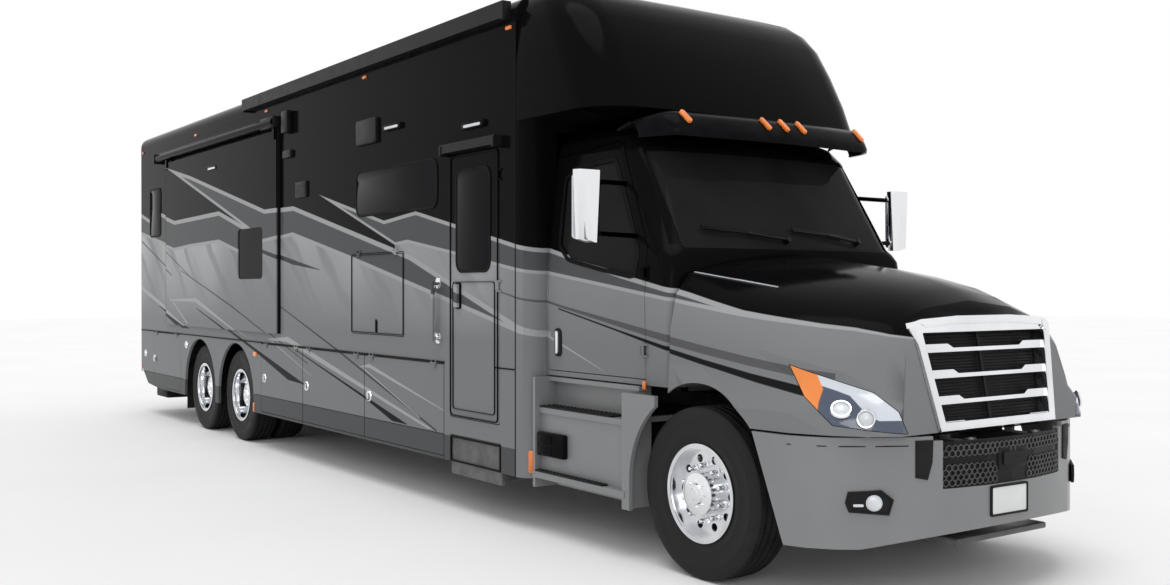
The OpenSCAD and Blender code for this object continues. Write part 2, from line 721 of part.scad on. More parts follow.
// Doors in the skirts: [side, x0, x1, z0, z1].
bay_doors = [for (b = bays) [b[0], b[1], b[2], bay_z0 - 49 + 30, skirt_top_z - 16]];

module bay_hinges(d, fixed) {
    top_hinges(d[0], d[1], d[2], d[4] + 2, fixed);
}

module bay_door(i) {
    d = bay_doors[i];
    g = door_gap / 2;
    y0 = d[0] * (half_w - skirt_t);
    y1 = d[0] * half_w;
    color([0.42, 0.42, 0.43]) {
        block([d[1] + g, min(y0, y1), d[3]], [d[2] - g, max(y0, y1), d[4]]);
        bay_hinges(d, false);
        // latch
        y_cyl(32, d[1] + 98, 775, d[0] * (half_w - 4), d[0] * (half_w + 12));
    }
}

module kitchen_hinges(fixed) {
    top_hinges(-1, kitchen_x0, kitchen_x1, kitchen_z1 + 3, fixed);
}

module kitchen_door() color([0.42, 0.42, 0.43]) {
    side_panel(kitchen_x0, kitchen_x1, kitchen_z0, kitchen_z1, -half_w, -half_w + wall_t, 20);
    kitchen_hinges(false);
    block([kitchen_x0 + 500, -half_w - 10, kitchen_z0 + 30], [kitchen_x0 + 545, -half_w + 5, kitchen_z0 + 130]);
}

// ---------- entry door ----------

entry_window = [-1, entry_x0 + 112, entry_x1 - 130, 1883, 2665];
entry_hinge_zs = [entry_z0 + 200, (entry_z0 + entry_z1) / 2, entry_z1 - 200];

module entry_hinges(fixed) {
    for (z = entry_hinge_zs) translate([entry_x1 + 3, -half_w - hinge_out, z])
        if (fixed && z > skirt_top_z) hinge_pin(); else if (!fixed && z > skirt_top_z) hinge_barrel();
}

module entry_door() color([0.3, 0.3, 0.31]) {
    difference() {
        side_panel(entry_x0, entry_x1, entry_z0, entry_z1, -half_w, -half_w + wall_t, 25);
        pane_cut(entry_window, half_w, wall_t);
    }
    entry_hinges(false);
    // pull handle at the rear edge
    block([entry_x0 + 110, -half_w - 35, 1600], [entry_x0 + 165, -half_w + 5, 1780]);
}

step_x0 = entry_x0 + 7;
step_x1 = entry_x1 + 23;
step_z0 = 285;
step_z1 = 590;

module entry_step() color([0.35, 0.35, 0.35]) {
    y0 = -half_w + 10;
    block([step_x0, y0, step_z0], [step_x1, y0 + 25, step_z1]);
    block([step_x0 + 20, y0 + 20, step_z1 - 65], [step_x1 - 20, y0 + 420, step_z1 - 25]);
    block([step_x0 + 20, y0 + 20, step_z0 + 30], [step_x1 - 20, y0 + 300, step_z0 + 60]);
    for (x = [step_x0 + 20, step_x1 - 50])
        block([x, y0 + 20, step_z0 + 30], [x + 30, y0 + 300, step_z1 - 25]);
}

// ---------- slide-out rooms ----------

module slide_room(s) {
    x0 = s < 0 ? slide_rx0 : slide_lx0;
    x1 = s < 0 ? slide_rx1 : slide_lx1;
    f = flange;
    face0 = half_w + flange_gap;
    face1 = face0 + flange_t;
    in0 = half_w - slide_depth;
    color([0.3, 0.3, 0.31]) mirrored_y(s) {
        difference() {
            union() {
                side_panel(x0, x1, slide_bottom_z, slide_top_z, face0, face1, 20);
                block([x0 + f, in0, slide_bottom_z + f], [x1 - f, face0 + 1, slide_top_z - f]);
            }
            // the room inside, open to the house
            block([x0 + f + slide_t, in0 - 1, slide_bottom_z + f + slide_t],
                [x1 - f - slide_t, face0, slide_top_z - f - slide_t]);
            for (w = slide_windows) if (w[0] == s) pane_cut([1, w[1], w[2], w[3], w[4]], face1, flange_t);
        }
        // roller of the cover over the room, with its end brackets
        x_cyl(42, face1 + 30, slide_top_z + 85, x0 - 60, x1 + 20);
        for (x = [x0 + 20, x1 - 80])
            block([x, face1 - 20, slide_top_z - 90], [x + 50, face1 + 15, slide_top_z + 85]);
    }
}

module slide_panes(s) {
    face1 = half_w + flange_gap + flange_t;
    color([0.05, 0.05, 0.06]) for (w = slide_windows) if (w[0] == s) pane(w, face1);
}

module house_windows() color([0.05, 0.05, 0.06]) {
    for (w = wall_windows) pane(w, half_w);
    lap = pane_lap - seal_gap;
    block([house_x0 + pane_inset, -450 - lap, 2300 - lap], [house_x0 + pane_inset + pane_t, 450 + lap, 2800 + lap]);
}

module entry_door_glass() color([0.05, 0.05, 0.06]) pane(entry_window, half_w);

// ---------- on the roof and walls ----------

// Roof units: [x, length, width, height].
roof_unit_rows = [[-4700, 1000, 700, 150], [-300, 1000, 700, 150], [-2600, 420, 420, 90], [1700, 420, 420, 90]];

module roof_units() color("white") difference() {
    for (u = roof_unit_rows) {
        x = u[0];
        hull() {
            block([x - u[1] / 2, -u[2] / 2, roof_top_z - 30], [x + u[1] / 2, u[2] / 2, roof_top_z + u[3] * 0.4]);
            block([x - u[1] / 2 + 60, -u[2] / 2 + 60, roof_top_z], [x + u[1] / 2 - 60, u[2] / 2 - 60, roof_top_z + u[3]]);
        }
    }
    roof_run(0, house_x0, house_x1);
}

module awnings() color([0.08, 0.08, 0.08]) {
    // patio awning case on the right roof edge
    ax0 = house_x1 - 5613;
    ax1 = house_x1 - 63;
    block([ax0, -half_w - 75, wall_top_z + 40], [ax1, -half_w - 1, wall_top_z + 165]);
    // awning over the entry door
    block([entry_x0 - 53, -half_w - 70, entry_z1 + 20], [entry_x1 + 43, -half_w - 1, entry_z1 + 90]);
    // wall rail of the right cover
    block([slide_rx0 - 60, -half_w - 14, slide_top_z + 130], [slide_rx1 + 20, -half_w - 1, slide_top_z + 160]);
    block([slide_lx0 - 60, half_w + 1, slide_top_z + 130], [slide_lx1 + 20, half_w + 14, slide_top_z + 160]);
}

// ---------- cab ----------

cab_x0 = house_x1 + post_x + 2;
// Plan sections of the cab: [z, front x from the front axle, half width, corner radius, bow].
cab_rows = [
    [1125, -362, 1115, 60, 0],
    [1700, -352, 1128, 60, 0],
    [1940, -352, 1112, 120, 0],
    [1990, -362, 1106, 180, 20],
    [2030, -400, 1100, 220, 60],
    [2350, -588, 1066, 220, 100],
    [2690, -780, 1028, 220, 110],
    [2790, -860, 990, 240, 100],
    [2850, -980, 930, 250, 80],
    [2878, -1150, 840, 200, 60]];

// Rings of the cab's skin moved in by inset, with its roof and floor too unless sides_only.
function cab_rings(inset, sides_only = false) = [for (row = cab_rows)
    let (lift = sides_only ? 0 : row[0] > 2750 ? -inset : row[0] < 1200 ? inset : 0)
    plan_ring(row[0] + lift, cab_x0 - (inset > 0 ? 60 : 0),
        front_axle_x + row[1] - inset, row[2] - inset, max(row[3] - inset, 20), row[4])];

cab_door_x0 = house_x1 + post_x + 22;
cab_door_x1 = front_axle_x - 600;

// The door's outline in XZ, and its window's, each grown by g.
module door_outline(g) {
    x0 = cab_door_x0;
    x1 = cab_door_x1;
    polygon([[x0 - g, cab_door_z0 - g], [x1 + g, cab_door_z0 - g], [x1 + g, 2010 + g / 2],
        [x1 - 370 + g, 2720 + g], [x1 - 430, 2745 + g], [x0 - g, 2690 + g]]);
}

module door_window_outline(g) {
    x0 = cab_door_x0;
    x1 = cab_door_x1;
    polygon([[x0 + 120 - g, 2060 - g], [x0 + 240, 1960 - g], [x1 - 130 + g, 1830 - g], [x1 - 110 + g, 1990],
        [x1 - 440 + g / 2, 2610 + g], [x0 + 240, 2590 + g], [x0 + 120 - g, 2520 + g / 2]]);
}

module door_prism(s, g) {
    translate([0, s > 0 ? 1400 : -600, 0]) rotate([90, 0, 0]) linear_extrude(800) door_outline(g);
}

module window_prism(s, g) {
    translate([0, s > 0 ? 1400 : -600, 0]) rotate([90, 0, 0]) linear_extrude(800) door_window_outline(g);
}

// The windshield's opening in the slanted front, as a prism along X.
module windshield_prism(g) {
    translate([4200 - 6625 + half_len, 0, 0]) rotate([90, 0, 90]) linear_extrude(1000)
        polygon([[-975 - g, 2010 - g], [975 + g, 2010 - g], [955 + g, 2668 + g], [-955 - g, 2668 + g]]);
}

// The skin between two depths, with no floor or roof in it if sides_only.
module cab_band(outer, inner, sides_only = false) {
    difference() {
        loft(cab_rings(outer));
        loft(cab_rings(inner, sides_only));
    }
}

module cab_shell() color([0.12, 0.12, 0.13]) {
    difference() {
        cab_band(0, cab_t);
        for (s = [-1, 1]) door_prism(s, door_gap);
        intersection() {
            cab_band(-5, cab_t + 5);
            windshield_prism(0);
        }
        intersection() {
            cab_band(12 - seal_gap, 20 + seal_gap);
            windshield_prism(pane_lap);
        }
    }
    for (s = [-1, 1]) mirrored_y(s) cab_hinges(true);
}

cab_hinge_y = 1128 + 14;
cab_hinge_zs = [1350, 1850];
cab_hinge_reach = 35;

// Hinges of a left door, mirrored for the right one.
module cab_hinges(fixed) {
    for (z = cab_hinge_zs) translate([cab_door_x1 + 3, cab_hinge_y, z]) mirror([0, 1, 0])
        if (fixed) hinge_pin(30, cab_hinge_reach); else hinge_barrel(30, cab_hinge_reach);
}

module windshield() color([0.05, 0.05, 0.06]) intersection() {
    cab_band(12, 20);
    windshield_prism(pane_lap - seal_gap);
}

module cab_door(s) color([0.12, 0.12, 0.13]) {
    difference() {
        intersection() {
            cab_band(0, cab_door_t, true);
            door_prism(s, 0);
        }
        window_prism(s, 0);
        intersection() {
            cab_band(14 - seal_gap, 20 + seal_gap);
            window_prism(s, 12);
        }
    }
    mirrored_y(s) cab_hinges(false);
}

module cab_door_glass(s) color([0.05, 0.05, 0.06]) intersection() {
    cab_band(14, 20);
    window_prism(s, 12 - seal_gap);
}

mirror_x = front_axle_x - 730;
mirror_y = 1589;        // outer edge of the mirrors

module mirror_unit(s) color("silver") mirrored_y(s) difference() {
    union() {
        x = mirror_x;
        hull() {
            translate([x, mirror_y - 48, 2480]) cylinder(r = 48, h = 20, $fn = 32);
            translate([x, mirror_y - 150, 2480]) cylinder(r = 48, h = 20, $fn = 32);
            translate([x, mirror_y - 140, 2040]) cylinder(r = 42, h = 40, $fn = 32);
            translate([x, mirror_y - 62, 2060]) cylinder(r = 42, h = 40, $fn = 32);
        }
        // arms to the door's frame, ahead of its window
        mirror_arm([x, mirror_y - 150, 2430], [x - 188, 1020, 2450]);
        mirror_arm([x, mirror_y - 150, 2100], [x, 1050, 2090]);
    }
    loft(cab_rings(0));
}

module mirror_arm(a, b) {
    hull() for (p = [a, b]) translate(p) cylinder(r = 15, h = 30, center = true, $fn = 24);
}

module sun_visor() color([0.1, 0.1, 0.11]) difference() {
    visor_and_brackets();
    loft(cab_rings(0));
}

module visor_and_brackets() {
    r_out = 3300;
    x1 = front_axle_x - 425;
    intersection() {
        translate([x1 - r_out, 0, 2735]) difference() {
            cylinder(r = r_out, h = 180, $fn = 240);
            translate([0, 0, -1]) cylinder(r = r_out - 40, h = 141, $fn = 240);
        }
        block([x1 - 420, -1030, 2700], [x1 + 1, 1030, 2950]);
        translate([0, 1100, 0]) rotate([90, 0, 0]) linear_extrude(2200) polygon([
            [x1 - 420, 2950], [x1 - 60, 2920], [x1 + 5, 2735], [x1 - 200, 2735], [x1 - 420, 2860]]);
    }
    // brackets back to the cab's roof
    for (y = [-700, 0, 700]) block([x1 - 700, y - 25, 2790], [x1 - 60, y + 25, 2860]);
}

module cab_interior() color([0.25, 0.25, 0.26]) {
    x_dash = front_axle_x - 640;
    block([x_dash, -1000, 1500], [x_dash + 180, 1000, 1900]);
    block([x_dash + 100, -900, cab_floor_z], [x_dash + 160, 900, 1510]);
    for (s = [-1, 1]) {
        x = cab_x0 + 150;
        y = s * 560;
        block([x + 60, y - 180, cab_floor_z], [x + 420, y + 180, cab_floor_z + 300]);
        block([x, y - 250, cab_floor_z + 290], [x + 500, y + 250, cab_floor_z + 420]);
        block([x - 40, y - 250, cab_floor_z + 330], [x + 90, y + 250, cab_floor_z + 1050]);
        block([x - 20, y - 130, cab_floor_z + 1040], [x + 70, y + 130, cab_floor_z + 1260]);
    }
    // steering wheel on its column
    translate([x_dash - 110, 560, 1790]) rotate([0, 55, 0]) {
        rotate_extrude($fn = 64) translate([215, 0]) circle(16, $fn = 24);
        for (a = [90, 210, 330]) rotate([0, 0, a]) translate([0, -14, -6]) cube([215, 28, 12]);
        cylinder(r = 60, h = 30, center = true, $fn = 48);
        cylinder(r = 30, h = 200, $fn = 32);
    }
}

// ---------- cab steps ----------

module cab_steps() color([0.42, 0.42, 0.43]) {
    x0 = house_x1 + post_x + 6;
    x1 = front_axle_x - 650;
    for (s = [-1, 1]) mirrored_y(s) {
        block([x0, 1030, 330], [x1, 1060, 1115]);
        block([x0, 1040, 860], [x1, 1215, 900]);
        block([x0, 1040, 400], [x1, 1255, 445]);
        block([x0, 1180, 440], [x1, 1200, 865]);
        block([x0, 1040, 1085], [x1, 1130, 1115]);
        block([x0, 1040, 330], [x0 + 30, 1250, 1115]);
        // panel ahead of the steps, its front edge round the wheel
        block([x1 - 30, 1040, 330], [x1, 1250, 1080]);
        difference() {
            block([x1 - 5, 1222, 330], [front_axle_x - 345, 1250, 1080]);
            y_cyl(arch_r - 60, front_axle_x, axle_z, 1200, 1300);
            block([front_axle_x - arch_r + 60, 1200, 300], [front_axle_x, 1300, axle_z]);
        }
        block([x0 + 300, 1000, 900], [x0 + 380, 1031, 1115]);
    }
    for (s = [-1, 1]) mirrored_y(s) for (x = [x0 + 40, x1 - 100])
        block([x, rail_y, 870], [x + 50, 1035, 905]);
}

// ---------- bumper ----------

// Half of the bumper's outline in plan: [x from its front, y].
bumper_half = [[-825, 1240], [-600, 1225], [-470, 1175], [-350, 1080], [-235, 930], [-120, 720],
    [-45, 470], [-8, 230], [0, 0]];
bumper_t = 30;

module bumper_plan(inset) {
    pts = [for (p = bumper_half) [half_len + p.x - inset, p.y - inset * sign(p.y)]];
    polygon(concat(pts, [for (i = [len(pts) - 2 : -1 : 0]) [pts[i].x, -pts[i].y]]));
}

mesh_hw = 540;          // half width of the bumper's opening
mesh_z0 = 660;
mesh_z1 = 925;

module bumper() color([0.42, 0.42, 0.43]) {
    difference() {
        translate([0, 0, 350]) linear_extrude(600) bumper_plan(0);
        translate([0, 0, 349]) linear_extrude(602) bumper_plan(bumper_t);
        translate([0, 0, 349]) linear_extrude(602)
            translate([half_len - 900, -1300]) square([60, 2600]);
        // rear edges slope forward towards the ground
        translate([0, 1400, 0]) rotate([90, 0, 0]) linear_extrude(2800) polygon([
            [half_len - 900, 960], [half_len - 823, 951], [half_len - 590, 345], [half_len - 900, 340]]);
        // underside rises at the front
        translate([0, 1400, 0]) rotate([90, 0, 0]) linear_extrude(2800) polygon([
            [half_len - 300, 340], [half_len + 1, 430], [half_len + 1, 340]]);
        block([half_len - 200, -mesh_hw, mesh_z0], [half_len + 1, mesh_hw, mesh_z1]);
        block([half_len - 300, -mesh_hw - 60, mesh_z1 - 1], [half_len + 1, mesh_hw + 60, 951]);
    }
    // brackets to the frame
    for (s = [-1, 1]) mirrored_y(s)
        block([rail_x1 - 10, 345, 560], [half_len - bumper_t - 18, 385, rail_z0]);
}

module bumper_grille() color([0.06, 0.06, 0.06]) {
    intersection() {
        translate([0, 0, mesh_z0]) linear_extrude(mesh_z1 - mesh_z0 - 10) difference() {
            bumper_plan(8);
            bumper_plan(18);
        }
        block([half_len - 200, -mesh_hw, 0], [half_len, mesh_hw, 2000]);
    }
}

// ---------- hood ----------

// Hood sections from back to front:
// [x from the front axle, fender y, side y, side z, shoulder y, shoulder z, top z, lean].
// lean is how far a section moves forward for each unit below lean_z.
hood_rows = [
    [-330, 1165, 1140, 1500, 985, 1850, 1975, 0],
    [0, 1240, 1150, 1470, 930, 1790, 1940, 0],
    [400, 1245, 1135, 1410, 850, 1720, 1880, 0],
    [750, 1205, 1075, 1340, 765, 1650, 1805, 0.03],
    [930, 1110, 960, 1290, 705, 1600, 1745, 0.10],
    [1050, 970, 845, 1255, 660, 1560, 1680, 0.17],
    [1120, 830, 745, 1215, 600, 1500, 1610, 0.19]];
lean_z = 1543;
hood_low_z = 962;       // the hood's lower edge, above the bumper

function hood_ring(row, inset) =
    let (half = [[row[1], hood_low_z - (inset > 0 ? 40 : 0)], [row[1] - 5, hood_low_z + 110],
            [row[2] + 8, (hood_low_z + row[3]) / 2 + 60], [row[2], row[3]],
            [(row[2] + row[4]) / 2 + 30, (row[3] + row[5]) / 2 + 40], [row[4], row[5]],
            [row[4] * 0.6, row[5] * 0.35 + row[6] * 0.65]],
        left = [for (p = half) [p[0] - inset, p[1] - (p[1] > 1450 ? inset : 0)]],
        right = [for (i = [len(half) - 1 : -1 : 0]) [-left[i][0], left[i][1]]])
    [for (p = concat(left, [[0, row[6] - inset]], right))
        [front_axle_x + row[0] + row[7] * (lean_z - p[1]), p[0], p[1]]];

function hood_rings(inset) =
    [for (i = [0 : len(hood_rows) - 1])
        let (shift = inset == 0 ? 0 : i == 0 ? -60 : i == len(hood_rows) - 1 ? -inset : 0)
        [for (p = hood_ring(hood_rows[i], inset)) [p.x + shift, p.y, p.z]]];

front_row = hood_rows[len(hood_rows) - 1];
hood_rear_x = front_axle_x + hood_rows[0][0] + 7;

// Puts its children on the hood's leaning front: X is out of it, Z runs up it from lean_z.
module on_front() {
    translate([front_axle_x + front_row[0], 0, lean_z]) rotate([0, -atan(front_row[7]), 0]) children();
}

grille_low = -625;      // the grille's lower edge, down its own plane
grille_outline = [[-525, grille_low], [525, grille_low], [625, -10], [560, 26], [250, 52], [-250, 52],
    [-560, 26], [-625, -10]];

module hood() color([0.35, 0.35, 0.36]) {
    difference() {
        loft(hood_rings(0));
        loft(hood_rings(hood_t));
        y_cyl(arch_r, front_axle_x, axle_z, -1400, 1400);
        // the rear edge is cut square
        block([hood_rear_x - 100, -1400, 900], [hood_rear_x, 1400, 2100]);
        on_front() rotate([90, 0, 90]) translate([0, 0, -200]) linear_extrude(400)
            offset(delta = 3) polygon(grille_outline);
        for (s = [-1, 1]) headlight_prism(s, 4);
    }
    // lugs on the pivots, and a crossbar that joins them to the fenders
    bar_x = hood_pivot_x - 190;
    bar_z = hood_pivot_z + 52;
    for (s = [-1, 1]) difference() {
        union() {
            y_cyl(hood_head_r, hood_pivot_x, hood_pivot_z, s * hood_pivot_y - hood_lug_w / 2,
                s * hood_pivot_y + hood_lug_w / 2);
            block([bar_x, s * hood_pivot_y - hood_lug_w / 2, hood_pivot_z - hood_head_r],
                [hood_pivot_x, s * hood_pivot_y + hood_lug_w / 2, hood_pivot_z + 2]);
            block([bar_x, s * hood_pivot_y - hood_lug_w / 2, hood_pivot_z - hood_head_r],
                [bar_x + 50, s * hood_pivot_y + hood_lug_w / 2, bar_z + 10]);
        }
        y_cyl(hood_pin_r + run_gap, hood_pivot_x, hood_pivot_z, s * (hood_pivot_y - 30), s * (hood_pivot_y + 30));
    }
    block([bar_x, -985, bar_z], [bar_x + 50, 985, bar_z + 24]);
}

// A headlight's outline, looking at the front corner from 45 degrees: [across, z].
headlight_outline = [[-304, 1322], [-235, 1300], [140, 1185], [265, 1090], [313, 975], [210, 985], [-80, 1018],
    [-226, 1160]];

module headlight_prism(s, g) {
    mirrored_y(-s) translate([front_axle_x, 0, 0]) rotate([0, 0, -45]) translate([0, 0, 0])
        rotate([90, 0, 90]) translate([0, 0, 900]) linear_extrude(900) offset(delta = g) polygon(headlight_outline);
}

module headlights() color("lightblue") for (s = [-1, 1]) intersection() {
    difference() {
        loft(hood_rings(0));
        loft(hood_rings(hood_t));
    }
    headlight_prism(s, 0);
}

grille_bar_zs = [-165, -315, -465, -620];
grille_bar_h = 34;

// Grille: a frame with four bars over a dark core, on the hood's leaning front.
module grille() color("silver") on_front() {
    rotate([90, 0, 90]) translate([0, 0, -60]) linear_extrude(74) difference() {
        polygon(grille_outline);
        offset(delta = -42) polygon(grille_outline);
    }
    intersection() {
        for (z = grille_bar_zs) block([-45, -700, z], [10, 700, z + grille_bar_h]);
        rotate([90, 0, 90]) translate([0, 0, -100]) linear_extrude(200) polygon(grille_outline);
    }
    rotate([90, 0, 90]) translate([0, 0, -60]) linear_extrude(14) polygon(grille_outline);
}

chassis_frame();
front_axle();
drive_axles();
engine_block();
driveline();
underbody_tanks();
storage_bays();
house_floor();
side_wall(-1);  // side_wall_right
side_wall(1);  // side_wall_left
rear_wall();
roof();
front_cap();
skirts();
roof_units();
awnings();
house_windows();
cab_shell();
windshield();
sun_visor();
cab_steps();
bumper();
bumper_grille();
cab_interior();
hood();
grille();
headlights();
cab_door(-1);  // cab_door_right
cab_door_glass(-1);  // cab_door_glass_right
mirror_unit(-1);  // mirror_right
cab_door(1);  // cab_door_left
cab_door_glass(1);  // cab_door_glass_left
mirror_unit(1);  // mirror_left
entry_door();
entry_door_glass();
entry_step();
slide_room(-1);  // slide_room_right
slide_panes(-1);  // slide_window_right
slide_room(1);  // slide_room_left
slide_panes(1);  // slide_window_left
kitchen_door();
bay_door(0);  // bay_door_right_1
bay_door(1);  // bay_door_right_2
bay_door(2);  // bay_door_right_3
bay_door(3);  // bay_door_right_4
bay_door(4);  // bay_door_left
knuckle(-1);  // knuckle_right
knuckle(1);  // knuckle_left
front_tyre(-1);  // front_tyre_right
front_rim(-1);  // front_rim_right
front_tyre(1);  // front_tyre_left
front_rim(1);  // front_rim_left
rear_tyres(-1, 0);  // rear_tyres_right_1
rear_rims(-1, 0);  // rear_rims_right_1
rear_tyres(1, 0);  // rear_tyres_left_1
rear_rims(1, 0);  // rear_rims_left_1
rear_tyres(-1, 1);  // rear_tyres_right_2
rear_rims(-1, 1);  // rear_rims_right_2
rear_tyres(1, 1);  // rear_tyres_left_2
rear_rims(1, 1);  // rear_rims_left_2
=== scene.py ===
# %% [markdown]
# # A motorhome on a heavy truck's chassis
# The coach is 13.25 m long: a tall house behind a conventional cab, on one steered axle and two
# driven ones. The solid frame below carries every real size and every joint. This lesson adds what
# a frame can't: paint with its stripes, glass, chrome, rubber, lamps, seams and fittings.

import json
import math

import bmesh
import bpy
from mathutils.bvhtree import BVHTree
from mathutils import Matrix, Vector

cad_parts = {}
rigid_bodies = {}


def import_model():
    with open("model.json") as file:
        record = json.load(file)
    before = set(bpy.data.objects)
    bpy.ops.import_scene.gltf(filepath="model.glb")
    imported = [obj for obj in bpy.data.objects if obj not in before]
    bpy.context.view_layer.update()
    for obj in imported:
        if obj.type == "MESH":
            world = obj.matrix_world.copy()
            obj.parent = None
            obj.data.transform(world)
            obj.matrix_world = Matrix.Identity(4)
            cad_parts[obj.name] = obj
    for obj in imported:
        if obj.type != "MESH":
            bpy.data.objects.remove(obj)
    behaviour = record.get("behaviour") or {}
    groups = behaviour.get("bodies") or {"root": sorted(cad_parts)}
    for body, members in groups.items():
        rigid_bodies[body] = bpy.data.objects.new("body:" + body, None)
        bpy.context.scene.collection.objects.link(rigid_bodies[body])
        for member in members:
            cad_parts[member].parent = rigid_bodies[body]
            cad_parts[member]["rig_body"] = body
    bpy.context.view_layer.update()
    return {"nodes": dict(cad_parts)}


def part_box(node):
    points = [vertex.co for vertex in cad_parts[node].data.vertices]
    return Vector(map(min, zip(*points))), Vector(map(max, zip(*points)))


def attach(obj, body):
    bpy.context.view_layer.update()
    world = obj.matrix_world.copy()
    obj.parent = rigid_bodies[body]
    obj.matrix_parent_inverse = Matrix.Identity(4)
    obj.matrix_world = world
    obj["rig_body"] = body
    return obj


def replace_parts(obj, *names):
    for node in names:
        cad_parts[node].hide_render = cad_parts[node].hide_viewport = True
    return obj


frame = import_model()
nodes = frame["nodes"]

# %% [markdown]
# ## The camera
# A vehicle this long is shown from a low three-quarter view near its front corner. The lens is as
# wide as its sensor, which gives the strong perspective of a yard picture.

# %% The camera
camera = bpy.data.objects.new("camera", bpy.data.cameras.new("camera"))
bpy.context.scene.collection.objects.link(camera)
camera.location = (10.605, -5.801, 1.754)
camera.rotation_euler = (math.radians(89.761), 0, math.radians(54.582))
camera.data.lens = 36
camera.data.sensor_width = 36
bpy.context.scene.camera = camera
bpy.context.scene.view_settings.view_transform = "Standard"
print("camera", tuple(round(c, 2) for c in camera.location))

# %% [markdown]
# ## Wiring finishes
# Every finish is a small node tree on Object coordinates. One helper class holds the tree and turns
# sums into nodes, so that a finish reads like a recipe. Sockets that are the same all over are set on
# the shader itself.

# %% A helper that wires a finish
class Finish:
    """A material being wired. Its methods return sockets, which the other methods take."""

    def __init__(self, name, **sockets):
        self.material = bpy.data.materials.new(name)
        self.material.use_nodes = True
        self.tree = self.material.node_tree
        self.shader = self.tree.nodes["Principled BSDF"]
        for key, value in sockets.items():
            self.shader.inputs[key.replace("_", " ")].default_value = value
        place = self.tree.nodes.new("ShaderNodeTexCoord")
        self.place = place.outputs["Object"]
        split = self.tree.nodes.new("ShaderNodeSeparateXYZ")
        self.tree.links.new(self.place, split.inputs[0])
        self.x, self.y, self.z = split.outputs

    def plug(self, value, socket):
        if isinstance(value, bpy.types.NodeSocket):
            self.tree.links.new(value, socket)
        else:
            socket.default_value = value

    def calc(self, operation, a, b=0.0):
        node = self.tree.nodes.new("ShaderNodeMath")
        node.operation = operation
        for value, socket in zip((a, b), node.inputs):
            self.plug(value, socket)
        return node.outputs[0]

    def span(self, value, a, b, low=0.0, high=1.0):
        """low where value is a or beyond, high where it is b or beyond, straight between."""
        node = self.tree.nodes.new("ShaderNodeMapRange")
        for item, socket in zip((value, a, b, low, high), node.inputs):
            self.plug(item, socket)
        return node.outputs[0]

    def mix(self, amount, a, b):
        node = self.tree.nodes.new("ShaderNodeMix")
        node.data_type = "RGBA"
        for value, socket in zip((amount, a, b), (node.inputs[0], node.inputs[6], node.inputs[7])):
            self.plug(value, socket)
        return node.outputs[2]

    def noise(self, scale, detail=3.0, stretch=(1, 1, 1), turn=(0, 0, 0)):
        mapping = self.tree.nodes.new("ShaderNodeMapping")
        mapping.inputs["Rotation"].default_value = turn
        mapping.inputs["Scale"].default_value = stretch
        self.tree.links.new(self.place, mapping.inputs[0])
        node = self.tree.nodes.new("ShaderNodeTexNoise")
        node.inputs["Scale"].default_value = scale
        node.inputs["Detail"].default_value = detail
        self.tree.links.new(mapping.outputs[0], node.inputs["Vector"])
        return node.outputs[0]

    def bump(self, height, distance):
        node = self.tree.nodes.new("ShaderNodeBump")
        node.inputs["Distance"].default_value = distance
        self.tree.links.new(height, node.inputs["Height"])
        self.tree.links.new(node.outputs[0], self.shader.inputs["Normal"])

    def done(self, colour=None, roughness=None):
        if colour is not None:
            self.plug(colour, self.shader.inputs["Base Color"])
        if roughness is not None:
            self.plug(roughness, self.shader.inputs["Roughness"])
        return self.material


def grained(name, colour, rough, spread=0.25, scale=9.0, bump=0.0, bump_scale=180.0, **sockets):
    """A finish whose colour and gloss wander by spread, with an optional fine surface grain."""
    finish = Finish(name, **sockets)
    wander = finish.noise(scale, 4.0)
    dark = tuple(c * (1 - spread) for c in colour) + (1,)
    pale = tuple(min(1, c * (1 + spread)) for c in colour) + (1,)
    shade = finish.mix(finish.span(wander, 0.35, 0.65), dark, pale)
    if bump:
        finish.bump(finish.noise(bump_scale, 2.0), bump)
    return finish.done(shade, finish.span(wander, 0.3, 0.7, rough * 0.85, min(1, rough * 1.2)))


print("finish helpers ready")

# %% [markdown]
# ## The coach's paint
# The upper body is gloss black and the lower body is silver grey. Between them dark grey bands with
# pale borders run down towards the front in long zigzags, over a silver fade with slanting streaks.
# On a real coach these are masked and sprayed over every panel in one go. Here they are one node
# tree in the side view's X and Z, so that a band runs on across seams, doors and the slide-out.

# %% Heights of the stripes, as (x, z) corners from rear to front, and the paint's colours
REAR_TOP = [(-6.7, 2.82), (-6.07, 2.67), (-5.62, 2.76), (-4.88, 2.62), (-3.1, 2.65), (-2.1, 2.41)]
REAR_LOW = [(-6.7, 2.52), (-4.9, 2.23), (-4.2, 2.26), (-3.1, 2.28), (-2.1, 2.08)]
MIDDLE_TOP = [(-5.25, 3.34), (-4.2, 3.15), (-1.6, 2.59), (-0.88, 2.585), (1.72, 2.03), (3.6, 1.43)]
MIDDLE_LOW = [(-5.25, 3.34), (-2.14, 2.41), (-1.65, 2.24), (-0.9, 2.285), (0.54, 2.01), (2.13, 1.69),
              (3.6, 1.39)]
FRONT_TOP = [(-0.21, 2.66), (1.23, 2.34), (1.83, 2.39), (3.59, 2.03), (4.43, 1.845), (5.06, 1.725),
             (5.53, 1.62), (6.2, 1.53), (6.7, 1.42)]
FRONT_LOW = [(-0.21, 2.66), (1.45, 2.12), (1.68, 2.135), (2.53, 2.01), (3.59, 1.845), (4.77, 1.69),
             (5.53, 1.585), (6.2, 1.515), (6.7, 1.42)]
CAB_TOP = [(3.2, 1.725), (3.77, 1.625), (4.96, 1.45), (6.2, 1.285)]
CAB_LOW = [(3.2, 1.715), (3.77, 1.605), (4.96, 1.40), (6.2, 1.235)]
HAIR_TOP = [(3.7, 1.61), (4.4, 1.475), (4.96, 1.375), (6.2, 1.185)]
